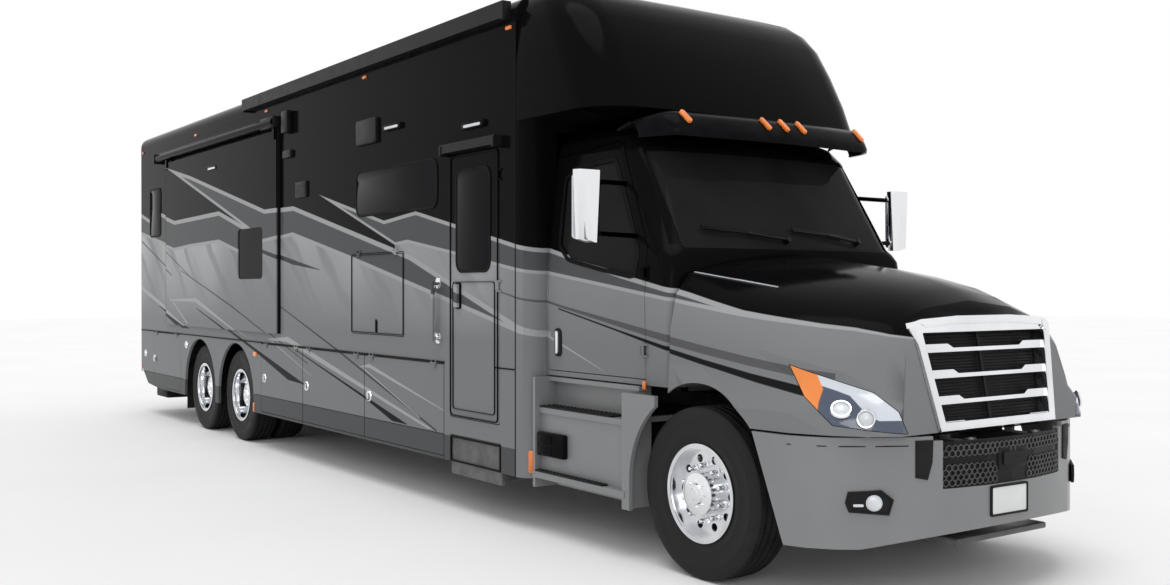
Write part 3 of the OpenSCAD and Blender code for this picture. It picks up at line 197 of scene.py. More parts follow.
HAIR_LOW = [(3.7, 1.6), (4.4, 1.462), (4.96, 1.345), (6.2, 1.14)]
# pale ribbons, black wedges and thin dark lines on the lower body: upper edge, then lower edge
RIBBONS = [
    ([(-6.7, 1.80), (-5.29, 1.475), (-4.38, 1.25)], [(-6.7, 1.74), (-5.29, 1.43), (-4.38, 1.245)]),
    ([(-5.1, 1.60), (-3.98, 1.625), (-2.3, 1.205)], [(-5.1, 1.585), (-4.0, 1.575), (-2.3, 1.2)]),
    ([(-4.95, 1.58), (-4.3, 1.30)], [(-4.99, 1.58), (-4.36, 1.30)]),
    ([(-1.6, 1.205), (-1.04, 1.245), (2.13, 0.60)], [(-1.6, 1.195), (-1.06, 1.19), (2.03, 0.60)]),
    ([(-1.5, 1.19), (-0.4, 0.88)], [(-1.53, 1.185), (-0.4, 0.875)]),
    ([(0.72, 1.035), (0.93, 1.07), (2.33, 0.77)], [(0.72, 1.03), (0.93, 1.035), (2.33, 0.765)]),
    ([(0.8, 1.03), (1.9, 0.68)], [(0.78, 1.025), (1.9, 0.672)]),
    ([(3.55, 1.42), (4.24, 1.19)], [(3.55, 1.40), (4.24, 1.187)]),
]
WEDGES = [
    ([(-5.72, 1.51), (-4.38, 1.24)], [(-5.72, 1.50), (-4.69, 1.235), (-4.38, 1.235)]),
    ([(-3.95, 1.50), (-0.58, 0.785)], [(-3.95, 1.49), (-2.0, 1.05), (-1.03, 0.80), (-0.58, 0.78)]),
    ([(-0.8, 1.12), (1.67, 0.6)], [(-0.8, 1.11), (0.86, 0.745), (1.39, 0.60), (1.67, 0.595)]),
]
LINES = [
    ([(-4.6, 1.98), (-2.66, 1.55), (-0.5, 1.0)], [(-4.6, 1.97), (-2.66, 1.532), (-0.5, 0.99)]),
    ([(-1.24, 1.56), (0.25, 1.165), (2.2, 0.6)], [(-1.24, 1.548), (0.25, 1.145), (2.2, 0.585)]),
    ([(-5.4, 2.28), (-4.1, 1.86)], [(-5.4, 2.265), (-4.1, 1.852)]),
    ([(-6.6, 2.42), (-5.0, 1.92)], [(-6.6, 2.40), (-5.0, 1.905)]),
    ([(-1.7, 2.17), (-0.2, 1.93)], [(-1.7, 2.13), (-0.9, 1.99), (-0.2, 1.925)]),
]
PALE = (0.34, 0.345, 0.35, 1)
BAND_GREY = (0.085, 0.087, 0.09, 1)
BLACK = (0.0035, 0.0035, 0.004, 1)
LINE_GREY = (0.05, 0.052, 0.055, 1)
CAB_GREY = (0.10, 0.10, 0.105, 1)
RIBBON_PALE = (0.36, 0.365, 0.37, 1)
WEDGE_BLACK = (0.012, 0.012, 0.013, 1)
FLAKE = (0.5, 0.5, 0.52, 1)
SILVER_LOW, SILVER_HIGH = (0.195, 0.20, 0.205, 1), (0.27, 0.275, 0.28, 1)
SILVER_GLOW, SILVER_STREAK = (0.40, 0.41, 0.415, 1), (0.155, 0.16, 0.165, 1)
BAND_EDGE = 0.0025       # half the width over which one colour gives way to the next
FLOOR_LINE = -1          # lower than any paint
HEM_TOP, HEM_FRONT = 0.583, 3.41


def height_at(paint, corners):
    """The height of a line through the corners, at every X."""
    total = corners[0][1]
    for (xa, za), (xb, zb) in zip(corners, corners[1:]):
        total = paint.calc("ADD", total, paint.span(paint.x, xa, xb, 0, zb - za))
    return total


def inside(paint, top, low, pare_top=0.0, pare_low=0.0):
    """1 between two lines and between their ends, 0 elsewhere."""
    under = paint.span(paint.calc("SUBTRACT", paint.z, height_at(paint, top)),
                       BAND_EDGE - pare_top, -BAND_EDGE - pare_top)
    over = paint.span(paint.calc("SUBTRACT", paint.z, height_at(paint, low)),
                      -BAND_EDGE + pare_low, BAND_EDGE + pare_low)
    x0, x1 = top[0][0], top[-1][0]
    reach = paint.calc("MULTIPLY", paint.span(paint.x, x0, x0 + BAND_EDGE),
                       paint.span(paint.x, x1, x1 - BAND_EDGE))
    return paint.calc("MULTIPLY", paint.calc("MULTIPLY", under, over), reach)


def silver(paint):
    """The lower body: pale under the bands, darker lower down, with slanting streaks."""
    fade = paint.span(paint.z, 1.35, 2.3)
    glow = paint.noise(0.55, 1.0, stretch=(1, 0, 0.5))
    glow = paint.calc("MULTIPLY", paint.span(glow, 0.40, 0.58), fade)
    # streaks run down towards the front, so they vary across that slope and hardly along it
    across = paint.calc("ADD", paint.calc("MULTIPLY", paint.x, 0.86), paint.z)
    wander = paint.calc("MULTIPLY", paint.noise(1.1, 2.0), 0.5)
    waves = paint.calc("SINE", paint.calc("MULTIPLY", paint.calc("ADD", across, wander), 9.0))
    fine = paint.calc("SINE", paint.calc("MULTIPLY", paint.calc("ADD", across, wander), 23.0))
    slant = paint.calc("ADD", waves, paint.calc("MULTIPLY", fine, 0.5))
    streak = paint.calc("MULTIPLY", paint.span(slant, 0.1, 1.1), fade)
    house = paint.span(paint.x, 3.3, 2.9)
    colour = paint.mix(fade, SILVER_LOW, SILVER_HIGH)
    colour = paint.mix(paint.calc("MULTIPLY", glow, house), colour, SILVER_GLOW)
    return paint.mix(paint.calc("MULTIPLY", streak, paint.calc("MULTIPLY", house, 0.6)), colour,
                     SILVER_STREAK)


def below(paint, top, start=None):
    """1 under a line between its ends, 0 elsewhere. With start, also 0 behind that X."""
    under = inside(paint, top, [(top[0][0], FLOOR_LINE), (top[-1][0], FLOOR_LINE)])
    if start is None:
        return under
    return paint.calc("MULTIPLY", under, paint.span(paint.x, start, start + 0.01))


def coach_paint(name):
    paint = Finish(name, Specular_IOR_Level=0.02)
    field = paint.calc("MAXIMUM", below(paint, REAR_TOP), below(paint, MIDDLE_TOP, -2.11))
    field = paint.calc("MAXIMUM", field, below(paint, FRONT_TOP, 1.44))
    colour = paint.mix(field, BLACK, silver(paint))
    for top, low in LINES:
        colour = paint.mix(inside(paint, top, low), colour, LINE_GREY)
    for top, low, border in ((REAR_TOP, REAR_LOW, 0.05), (MIDDLE_TOP, MIDDLE_LOW, 0.045),
                             (FRONT_TOP, FRONT_LOW, 0.03)):
        colour = paint.mix(inside(paint, top, low), colour, PALE)
        colour = paint.mix(inside(paint, top, low, border, border * 0.8), colour, BAND_GREY)
    colour = paint.mix(inside(paint, CAB_TOP, CAB_LOW), colour, CAB_GREY)
    for top, low in RIBBONS:
        colour = paint.mix(inside(paint, top, low), colour, RIBBON_PALE)
    for top, low in WEDGES + [(HAIR_TOP, HAIR_LOW)]:
        colour = paint.mix(inside(paint, top, low), colour, WEDGE_BLACK)
    # the charcoal hem along the skirts
    hem = paint.calc("MULTIPLY", paint.span(paint.z, HEM_TOP, HEM_TOP - 0.004),
                     paint.span(paint.x, HEM_FRONT, HEM_FRONT - 0.01))
    colour = paint.mix(hem, colour, BAND_GREY)
    flake = paint.noise(900, 1.0)
    colour = paint.mix(paint.span(flake, 0.6, 0.9, 0, 0.03), colour, FLAKE)
    return paint.done(colour, paint.span(paint.noise(2.5, 3.0), 0.3, 0.7, 0.10, 0.16))


body_paint = coach_paint("coach_paint")
print("paint nodes", len(body_paint.node_tree.nodes))

# %% [markdown]
# ## Plain finishes
# Black gloss covers the cap, the visor and the roof edge. Grey paint covers the bumper and steps.
# Each has a slight wander in colour and gloss, as sprayed fibreglass and moulded plastic do.

# %% Plain finishes
gloss_black = grained("gloss_black", (0.006, 0.006, 0.007), 0.12, bump=0.00015, bump_scale=14,
                      Specular_IOR_Level=0.02)
satin_black = grained("satin_black", (0.008, 0.008, 0.009), 0.38, bump=0.0002, Specular_IOR_Level=0.12)
moulded_black = grained("moulded_black", (0.010, 0.010, 0.011), 0.55, bump=0.0006,
                        bump_scale=420, Specular_IOR_Level=0.15)
body_grey = grained("body_grey", (0.20, 0.203, 0.208), 0.35, spread=0.03, scale=2.5)
dark_grey = grained("dark_grey", (0.06, 0.061, 0.064), 0.4, bump=0.0002)
frame_black = grained("frame_black", (0.016, 0.016, 0.017), 0.5, spread=0.4, bump=0.0008, bump_scale=60)
cast_grey = grained("cast_grey", (0.09, 0.09, 0.092), 0.6, spread=0.35, bump=0.001, bump_scale=90)
chrome = grained("chrome", (0.80, 0.81, 0.83), 0.07, spread=0.06, scale=3, Metallic=1.0)
alloy = grained("alloy", (0.68, 0.69, 0.71), 0.16, spread=0.10, scale=5, bump=0.0001, Metallic=1.0)
steel = grained("steel", (0.36, 0.365, 0.37), 0.35, spread=0.2, bump=0.0003, Metallic=1.0)
tyre_rubber = grained("tyre_rubber", (0.011, 0.011, 0.012), 0.6, spread=0.3, scale=14, bump=0.0007,
                      bump_scale=300, Specular_IOR_Level=0.2)
seal_rubber = grained("seal_rubber", (0.004, 0.004, 0.004), 0.6, bump=0.0003, bump_scale=200,
                      Specular_IOR_Level=0.08)
tread_plate = grained("tread_plate", (0.008, 0.008, 0.009), 0.5, bump=0.0005, bump_scale=110,
                      Specular_IOR_Level=0.15)
amber = grained("amber", (0.85, 0.20, 0.012), 0.18, spread=0.15, bump=0.001, bump_scale=120,
                Coat_Weight=0.5)
red_lens = grained("red_lens", (0.48, 0.012, 0.01), 0.18, spread=0.15, bump=0.001, bump_scale=120,
                   Coat_Weight=0.5)
clear_lens = grained("clear_lens", (0.66, 0.69, 0.72), 0.12, spread=0.12, bump=0.0008, bump_scale=160,
                     Coat_Weight=0.5)
white_shell = grained("white_shell", (0.62, 0.62, 0.60), 0.45, spread=0.08, bump=0.0004, bump_scale=60)
awning_cloth = grained("awning_cloth", (0.03, 0.03, 0.032), 0.8, spread=0.3, bump=0.0006,
                       bump_scale=500)
floor_vinyl = grained("floor_vinyl", (0.16, 0.12, 0.085), 0.4, spread=0.35, scale=4, bump=0.0004)
seat_leather = grained("seat_leather", (0.05, 0.045, 0.042), 0.5, spread=0.25, bump=0.0012,
                       bump_scale=160)
plate_white = grained("plate_white", (0.70, 0.71, 0.71), 0.35, spread=0.04, bump=0.0002, bump_scale=50)


def tinted_glass(name, colour):
    """Privacy glass: nearly black, very smooth, with a faint ripple in its gloss."""
    finish = Finish(name, Specular_IOR_Level=0.018)
    wave = finish.noise(1.6, 2.0)
    shade = finish.mix(finish.span(wave, 0.3, 0.7), colour + (1,), tuple(c * 1.6 for c in colour) + (1,))
    return finish.done(shade, finish.span(wave, 0.3, 0.7, 0.03, 0.06))


privacy_glass = tinted_glass("privacy_glass", (0.008, 0.008, 0.009))
screen_glass = tinted_glass("screen_glass", (0.012, 0.012, 0.013))
print("finishes", len(bpy.data.materials))

# %% [markdown]
# ## Finishes on the frame's own parts
# Panels whose shape is already right keep their solid and only change finish.

# %% Give each frame part its finish
PARTS_IN_FINISH = [
    (body_paint, "side_wall_right side_wall_left rear_wall skirts slide_room_right slide_room_left "
     "kitchen_door entry_door bay_door_right_1 bay_door_right_2 bay_door_right_3 bay_door_right_4 "
     "bay_door_left cab_door_right cab_door_left cab_shell hood front_cap"),
    (gloss_black, "sun_visor roof"),
    (body_grey, "bumper cab_steps"),
    (chrome, "mirror_right mirror_left grille"),
    (satin_black, "awnings bumper_grille"),
    (frame_black, "chassis_frame front_axle drive_axles knuckle_right knuckle_left underbody_tanks"),
    (cast_grey, "engine_block driveline entry_step"),
    (dark_grey, "storage_bays"),
    (white_shell, "roof_units"),
    (floor_vinyl, "house_floor"),
    (seat_leather, "cab_interior"),
    (privacy_glass, "house_windows slide_window_right slide_window_left entry_door_glass"),
    (screen_glass, "windshield cab_door_glass_right cab_door_glass_left"),
    (clear_lens, "headlights"),
]
for name in nodes:
    if "_rim" in name:
        PARTS_IN_FINISH.append((alloy, name))
    elif "_tyre" in name:
        PARTS_IN_FINISH.append((tyre_rubber, name))
for finish, names in PARTS_IN_FINISH:
    for name in names.split():
        slots = nodes[name].data.materials
        slots.clear()
        slots.append(finish)
print("finished parts", sum(len(names.split()) for _, names in PARTS_IN_FINISH))

# %% [markdown]
# ## Shapes for the fittings
# Small helpers add one shape each to an open mesh: a rounded box, a rod, a turned profile, and a
# rounded plate or a drawn outline with or without a hole. Each starts from a bmesh operator or from
# a few vertices, and a piece is the sum of a few of them.

# %% Helpers that add a shape to an open mesh
def box(bm, low, high, edge=0.0):
    low, high = Vector(low), Vector(high)
    middle, size = (low + high) / 2, high - low
    made = bmesh.ops.create_cube(bm, size=1, matrix=Matrix.Translation(middle)
                                 @ Matrix.Diagonal((*[abs(c) for c in size], 1)))
    if edge:
        edges = list({e for v in made["verts"] for e in v.link_edges})
        bmesh.ops.bevel(bm, geom=edges, offset=edge, affect="EDGES", segments=2, profile=0.5,
                        material=-1)


def rod(bm, a, b, radius, sides=20, end=None):
    a, b = Vector(a), Vector(b)
    along = b - a
    turn = along.to_track_quat("Z", "Y").to_matrix().to_4x4()
    bmesh.ops.create_cone(bm, cap_ends=True, segments=sides, radius1=radius,
                          radius2=radius if end is None else end, depth=along.length,
                          matrix=Matrix.Translation((a + b) / 2) @ turn)


def moved(grown):
    """The corners that an extrusion made."""
    return [g for g in grown["geom"] if isinstance(g, bmesh.types.BMVert)]


def spun(profile, centre, axis, sides):
    """An open mesh of (radius, distance along the axis) points spun round an axis through centre."""
    turn = Vector(axis).to_track_quat("Z", "Y").to_matrix().to_4x4()
    place = Matrix.Translation(centre) @ turn
    bm = bmesh.new()
    verts = [bm.verts.new(place @ Vector((r, 0, along))) for r, along in profile]
    edges = [bm.edges.new(pair) for pair in zip(verts, verts[1:])]
    bmesh.ops.spin(bm, geom=verts + edges, cent=place.translation,
                   axis=turn.to_3x3() @ Vector((0, 0, 1)), angle=math.tau, steps=sides,
                   use_merge=True)
    bmesh.ops.remove_doubles(bm, verts=bm.verts[:], dist=1e-5)
    return bm


def turned(bm, profile, centre, axis, sides=64):
    shell = spun(profile, centre, axis, sides)
    bmesh.ops.recalc_face_normals(shell, faces=shell.faces[:])
    add(bm, shell)


def border_only(sheet, width):
    """Cuts the middle out of a sheet and leaves a border of that width."""
    inner = bmesh.ops.inset_region(sheet, faces=sheet.faces[:], thickness=width,
                                   use_boundary=True, use_even_offset=True)
    border = set(inner["faces"])
    bmesh.ops.delete(sheet, geom=[f for f in sheet.faces if f not in border], context="FACES")


def thicken(bm, sheet, place, thick, soft=0.0):
    """Pulls a sheet up into a solid with its upper edge rounded by soft, and adds it at a place."""
    raised = moved(bmesh.ops.extrude_face_region(sheet, geom=sheet.faces[:]))
    bmesh.ops.translate(sheet, verts=raised, vec=(0, 0, thick))
    if soft:
        tops = [e for e in sheet.edges if all(v in raised for v in e.verts)
                and e.calc_face_angle(0) > 1]
        bmesh.ops.bevel(sheet, geom=tops, offset=soft, affect="EDGES", segments=2, profile=0.5,
                        material=-1)
    bmesh.ops.recalc_face_normals(sheet, faces=sheet.faces[:])
    bmesh.ops.transform(sheet, matrix=place, verts=sheet.verts[:])
    add(bm, sheet)


def plate(bm, place, width, height, thick, corner=0.0, rim=0.0, soft=0.0):
    """A plate in the XY of place, thick along its Z. rim leaves only a border of that width."""
    sheet = bmesh.new()
    bmesh.ops.create_grid(sheet, x_segments=1, y_segments=1, size=0.5,
                          matrix=Matrix.Diagonal((width, height, 1, 1)))
    if corner:
        bmesh.ops.bevel(sheet, geom=sheet.verts[:], offset=corner, affect="VERTICES", segments=5,
                        profile=0.5, material=-1)
    if rim:
        border_only(sheet, rim)
    thicken(bm, sheet, place, thick, soft)


def shape(bm, place, corners, thick, soft=0.0, rim=0.0):
    """A flat outline in the XY of place, made thick along its Z."""
    sheet = bmesh.new()
    sheet.faces.new([sheet.verts.new((x, y, 0)) for x, y in corners])
    sheet.normal_update()
    if sheet.faces[:][0].normal.z < 0:
        bmesh.ops.reverse_faces(sheet, faces=sheet.faces[:])
    if rim:
        border_only(sheet, rim)
    thicken(bm, sheet, place, thick, soft)


def add(bm, other):
    """Joins a finished mesh to an open one."""
    mesh = bpy.data.meshes.new("joined")
    other.to_mesh(mesh)
    other.free()
    bm.from_mesh(mesh)
    bpy.data.meshes.remove(mesh)


def piece(name, bm, finish, body="coach", sharp=35):
    """Turns an open mesh into a finished piece that rides on a body."""
    mesh = bpy.data.meshes.new(name)
    bm.to_mesh(mesh)
    bm.free()
    for face in mesh.polygons:
        face.use_smooth = True
    mesh.set_sharp_from_angle(angle=math.radians(sharp))
    mesh.materials.append(finish)
    obj = bpy.data.objects.new(name, mesh)
    bpy.context.scene.collection.objects.link(obj)
    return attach(obj, body)


def side_face(side, x, z, y):
    """A place on the coach's side: X runs forward (rearward on the left), Y up, Z outward."""
    return Matrix(((-side, 0, 0, x), (0, 0, side, y), (0, 1, 0, z), (0, 0, 0, 1)))


RIGHT, LEFT = -1, 1
SIDES = ((RIGHT, "right"), (LEFT, "left"))
WALL = 1.295     # from the middle of the coach to the outside of its wall
SLIDE = 1.315    # and to the outside of a slide-out
SKINS = {}


def surface(node, start, towards):
    """Where a line from start first meets a frame part, and which way the part faces there."""
    if node not in SKINS:
        skin = bmesh.new()
        skin.from_mesh(nodes[node].data)
        SKINS[node] = BVHTree.FromBMesh(skin)
        skin.free()
    spot, normal, _, _ = SKINS[node].ray_cast(Vector(start), Vector(towards).normalized())
    if spot is None:
        raise ValueError("nothing of " + node + " lies that way")
    return spot, normal


def smooth_copy(node, finish, sharp):
    """The frame part again with its corners joined, so that it shades as one smooth skin."""
    bm = bmesh.new()
    bm.from_mesh(nodes[node].data)
    bmesh.ops.remove_doubles(bm, verts=bm.verts[:], dist=1e-5)
    bmesh.ops.dissolve_limit(bm, angle_limit=math.radians(0.5), verts=bm.verts[:],
                             edges=bm.edges[:], delimit=set())
    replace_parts(piece(node + "_skin", bm, finish, nodes[node]["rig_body"], sharp), node)


for name, finish, sharp in (("front_cap", body_paint, 40), ("cab_shell", body_paint, 30),
                            ("hood", body_paint, 34), ("bumper", body_grey, 40),
                            ("windshield", screen_glass, 30), ("headlights", clear_lens, 40),
                            ("cab_door_right", body_paint, 28), ("cab_door_left", body_paint, 28)):
    smooth_copy(name, finish, sharp)
print("smooth skins made")

# %% [markdown]
# ## Tyres
# A truck tyre's section is spun once round the axle: sidewalls with two fine ribs, a rounded
# shoulder, and a tread with four straight grooves. Each rib of the tread is then cut into blocks by
# insetting its faces.

# %% The tyres
TREAD_R, GROOVE_R = 0.520, 0.507
BLOCKS_FROM = 0.5165     # faces whose middle is further out than this are the tread's
HALF_DUAL = 0.14         # from each side of a twin pair to the middle of the tyre there
HALF_SECTION = [(0.299, 0.120), (0.312, 0.127), (0.345, 0.1325), (0.352, 0.1345), (0.358, 0.1332),
                (0.40, 0.1372), (0.435, 0.1385), (0.442, 0.1400), (0.449, 0.1383), (0.478, 0.1370),
                (0.500, 0.1325), (0.512, 0.1245), (0.517, 0.1150), (0.5192, 0.1000)]
TREAD = [(0.5195, 0.083), (GROOVE_R, 0.080), (GROOVE_R, 0.072), (0.5198, 0.069),
         (TREAD_R, 0.034), (GROOVE_R, 0.031), (GROOVE_R, 0.022), (TREAD_R, 0.019)]


def tyre_mesh(bm, centre, side):
    half = HALF_SECTION + TREAD
    profile = half + [(r, -y) for r, y in reversed(half)]
    shell = spun(profile, centre, (0, side, 0), 120)
    tread = []
    for face in shell.faces:
        out = face.calc_center_median() - Vector(centre)
        if Vector((out.x, 0, out.z)).length > BLOCKS_FROM:
            tread.append(face)
    bmesh.ops.inset_individual(shell, faces=tread, thickness=0.0022, depth=-0.0025)
    bmesh.ops.recalc_face_normals(shell, faces=shell.faces[:])
    add(bm, shell)


for side, word in SIDES:
    for name, body in [("front_tyre_" + word, "front_wheel_" + word),
                       ("rear_tyres_" + word + "_1", "rear_wheels_" + word + "_1"),
                       ("rear_tyres_" + word + "_2", "rear_wheels_" + word + "_2")]:
        low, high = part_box(name)
        middle = (low + high) / 2
        bm = bmesh.new()
        twin = [low.y + HALF_DUAL, high.y - HALF_DUAL]
        spots = [middle.y] if name.startswith("front") else twin
        for y in spots:
            tyre_mesh(bm, (middle.x, y, middle.z), side)
        rubber = piece(name + "_treaded", bm, tyre_rubber, nodes[name]["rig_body"], 40)
        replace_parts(rubber, name)
print("tyre tread depth", round(TREAD_R - GROOVE_R, 3))

# %% [markdown]
# ## Wheel trim
# Polished covers hide the wheel nuts: ten tall caps in a ring and a stepped cap over the hub. The
# driven wheels are deep dishes with a broad hub in the middle.

# %% Nut caps and hub caps
NUTS, NUT_CIRCLE = 10, 0.1675
HUB_BOLTS, HUB_BOLT_CIRCLE, HUB_R = 8, 0.078, 0.128
NUT_CAP = [(0.0, 0.062), (0.009, 0.060), (0.0145, 0.050), (0.0165, 0.012), (0.022, 0.009),
           (0.0235, 0.0), (0.0, 0.0)]
DISH = [(0.270, 0.120), (0.262, 0.118), (0.256, 0.09), (0.252, 0.0), (0.246, -0.075),
        (0.232, -0.108), (0.205, -0.126), (0.130, -0.129), (0.126, -0.10)]


def wheel_trim(name, node, centre, side, face, hub_end):
    """Caps on a face across the axle and a hub cap at hub_end, both as distances along Y."""
    bm = bmesh.new()
    axis = (0, side, 0)
    for k in range(NUTS):
        a = math.tau * (k + 0.5) / NUTS
        spot = (centre[0] + NUT_CIRCLE * math.cos(a), face, centre[2] + NUT_CIRCLE * math.sin(a))
        turned(bm, NUT_CAP, spot, axis, 14)
    turned(bm, [(0.0, 0.030), (0.030, 0.029), (0.036, 0.024), (0.060, 0.022), (0.066, 0.010),
                 (HUB_R * 0.86, 0.006), (HUB_R, -0.004), (HUB_R + 0.002, -0.05)],
           (centre[0], hub_end, centre[2]), axis, 48)
    for k in range(HUB_BOLTS):
        a = math.tau * k / HUB_BOLTS
        spot = Vector((centre[0] + HUB_BOLT_CIRCLE * math.cos(a), hub_end + side * 0.006,
                       centre[2] + HUB_BOLT_CIRCLE * math.sin(a)))
        rod(bm, spot, spot + Vector((0, side * 0.010, 0)), 0.007, 12)
    piece(name, bm, chrome, nodes[node]["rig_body"], 30)


for side, word in SIDES:
    low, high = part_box("front_tyre_" + word)
    middle = (low + high) / 2
    wheel_trim("front_trim_" + word, "front_rim_" + word, middle, side,
               middle.y + side * 0.0685, middle.y + side * 0.151)
    for k in ("1", "2"):
        wheel = word + "_" + k
        rims = "rear_rims_" + wheel
        low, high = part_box("rear_tyres_" + wheel)
        outer = (high.y if side > 0 else low.y) - side * HALF_DUAL
        centre = ((low.x + high.x) / 2, outer, (low.z + high.z) / 2)
        bm = bmesh.new()
        turned(bm, DISH, centre, (0, side, 0), 96)
        piece("rear_dish_" + wheel, bm, chrome, nodes[rims]["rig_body"], 40)
        wheel_trim("rear_trim_" + wheel, rims, centre, side, outer - side * 0.127,
                   outer + side * 0.061)

# %% [markdown]
# ## The grille
# A heavy chrome surround leans back with the nose. Under a broad top band, four bars cross it, thick
# at both ends and thin in the middle, over fine black fins with one upright among them. It replaces
# the plain grille of the frame.

# %% The grille
LEAN = math.atan(0.19)
BARS = (-0.155, -0.300, -0.445, -0.585)     # down the nose from the grille's top
FINS, FIN_STEP, LOWEST_FIN = 34, 0.0172, -0.600
NOSE = Matrix.Translation((6.412, 0, 1.543)) @ Matrix.Rotation(-LEAN, 4, "Y") @ Matrix(
    ((0, 0, 1, 0), (1, 0, 0, 0), (0, 1, 0, 0), (0, 0, 0, 1)))
SURROUND = [(-0.530, -0.592), (0.530, -0.592), (0.585, -0.26), (0.625, -0.01), (0.605, 0.022),
            (0.56, 0.034), (0.25, 0.052), (-0.25, 0.052), (-0.56, 0.034), (-0.605, 0.022),
            (-0.625, -0.01), (-0.585, -0.26)]


def nose_width(v):
    """Half the surround's width at a height v down the nose."""
    return 0.625 + 0.163 * (v + 0.01)


bm = bmesh.new()
shape(bm, NOSE @ Matrix.Translation((0, 0, -0.055)), SURROUND, 0.085, 0.012, rim=0.052)
shape(bm, NOSE @ Matrix.Translation((0, 0, -0.01)),
      [(-0.575, -0.045), (0.575, -0.045), (0.56, 0.012), (0.25, 0.032), (-0.25, 0.032),
       (-0.56, 0.012)], 0.03, 0.01)
for v in BARS:
    w = nose_width(v) - 0.045
    shape(bm, NOSE @ Matrix.Translation((0, 0, -0.03)),
          [(-w, v), (w, v), (w + 0.004, v + 0.050), (0.63 * w, v + 0.050), (0.55 * w, v + 0.026),
           (-0.55 * w, v + 0.026), (-0.63 * w, v + 0.050), (-w - 0.004, v + 0.050)], 0.045, 0.006)
grille_bright = piece("grille_bright", bm, chrome, "hood", 30)
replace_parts(grille_bright, "grille")
bm = bmesh.new()
shape(bm, NOSE @ Matrix.Translation((0, 0, -0.075)), SURROUND, 0.012)
for k in range(FINS):
    v = LOWEST_FIN + k * FIN_STEP
    w = nose_width(v) - 0.05
    plate(bm, NOSE @ Matrix.Translation((0, v, -0.064)) @ Matrix.Rotation(math.radians(-50), 4, "X"),
          2 * w, 0.011, 0.004)
plate(bm, NOSE @ Matrix.Translation((0, -0.3, -0.05)), 0.022, 0.58, 0.012)
piece("grille_fins", bm, moulded_black, "hood", 30)
print("grille width", round(2 * nose_width(0), 3))

# %% [markdown]
# ## Nose fittings
# The bumper carries a honeycomb mesh with a sensor box, a blank plate in its holder, round fog lamps
# in black corners, and a seam that sets off its upper strip.

# %% The bumper's fittings
NOSE_X = 6.625
BUMPER_HALF = [(-0.825, 1.240), (-0.600, 1.225), (-0.470, 1.175), (-0.350, 1.080), (-0.235, 0.930),
               (-0.120, 0.720), (-0.045, 0.470), (-0.008, 0.230), (0.0, 0.0)]


def bumper_at(y, out=0.0):
    """The bumper's face at a distance from the middle: its place and which way it looks."""
    y_abs = abs(y)
    for (xa, ya), (xb, yb) in zip(BUMPER_HALF[1:], BUMPER_HALF[2:]):
        if yb <= y_abs <= ya:
            t = (y_abs - yb) / (ya - yb)
            x = xb + (xa - xb) * t
            normal = Vector((ya - yb, xb - xa, 0)).normalized()
            break
    normal = Vector((normal.x, math.copysign(normal.y, y) if y else 0, 0))
    return Vector((NOSE_X + x, y, 0)) + normal * out, normal


def facing(spot, normal, z):
    """A place with Z along normal, Y up and X across."""
    up = Vector((0, 0, 1))
    across = up.cross(normal).normalized()
    m = Matrix((across, up, normal)).transposed().to_4x4()
    m.translation = Vector((spot.x, spot.y, z))
    return m


CELL_R, CELL_PITCH, ROW_PITCH, LOWEST_ROW = 0.0225, 0.040, 0.0265, 0.690
bm = bmesh.new()
for row in range(8):
    for col in range(-13, 14):
        y = col * CELL_PITCH + (CELL_PITCH / 2 if row % 2 else 0)
        z = LOWEST_ROW + row * ROW_PITCH
        # the mesh leaves out its middle bar and the sensor box
        if abs(y) > 0.52 or 0.79 < z < 0.84 or (abs(y) < 0.15 and z < 0.84):
            continue
        spot, normal = bumper_at(y, -0.0085)
        cell = bmesh.new()
        bmesh.ops.create_circle(cell, cap_ends=True, segments=6, radius=CELL_R)
        border_only(cell, 0.004)
        thicken(bm, cell, facing(spot, normal, z), 0.007)
piece("bumper_mesh", bm, dark_grey, "coach")
bm = bmesh.new()
box(bm, (6.585, -0.13, 0.735), (6.622, 0.13, 0.86), 0.008)
plate(bm, facing(*bumper_at(0.0, 0.002), 0.797), 0.20, 0.075, 0.008, 0.01)
piece("sensor_box", bm, moulded_black)
PLATE_WIDE, PLATE_HIGH, PLATE_Y, PLATE_Z = 0.298, 0.148, -0.045, 0.567
bm = bmesh.new()
plate(bm, facing(*bumper_at(PLATE_Y, 0.001), PLATE_Z), PLATE_WIDE + 0.027, PLATE_HIGH + 0.024,
      0.012, 0.012, 0.012, 0.002)
plate(bm, facing(*bumper_at(PLATE_Y), PLATE_Z), PLATE_WIDE + 0.017, PLATE_HIGH + 0.014, 0.004, 0.008)
piece("plate_holder", bm, moulded_black)
bm = bmesh.new()
plate(bm, facing(*bumper_at(PLATE_Y, 0.006), PLATE_Z), PLATE_WIDE, PLATE_HIGH, 0.003, 0.010, 0, 0.001)
piece("blank_plate", bm, plate_white)
FOG_BEZEL = [(-0.115, -0.05), (0.10, -0.065), (0.125, 0.02), (0.06, 0.07), (-0.12, 0.06),
             (-0.135, 0.0)]
CORNER_VENT = [(-0.055, -0.10), (0.02, -0.115), (0.05, -0.02), (0.055, 0.10), (-0.055, 0.10)]
bm = bmesh.new()
bright = bmesh.new()
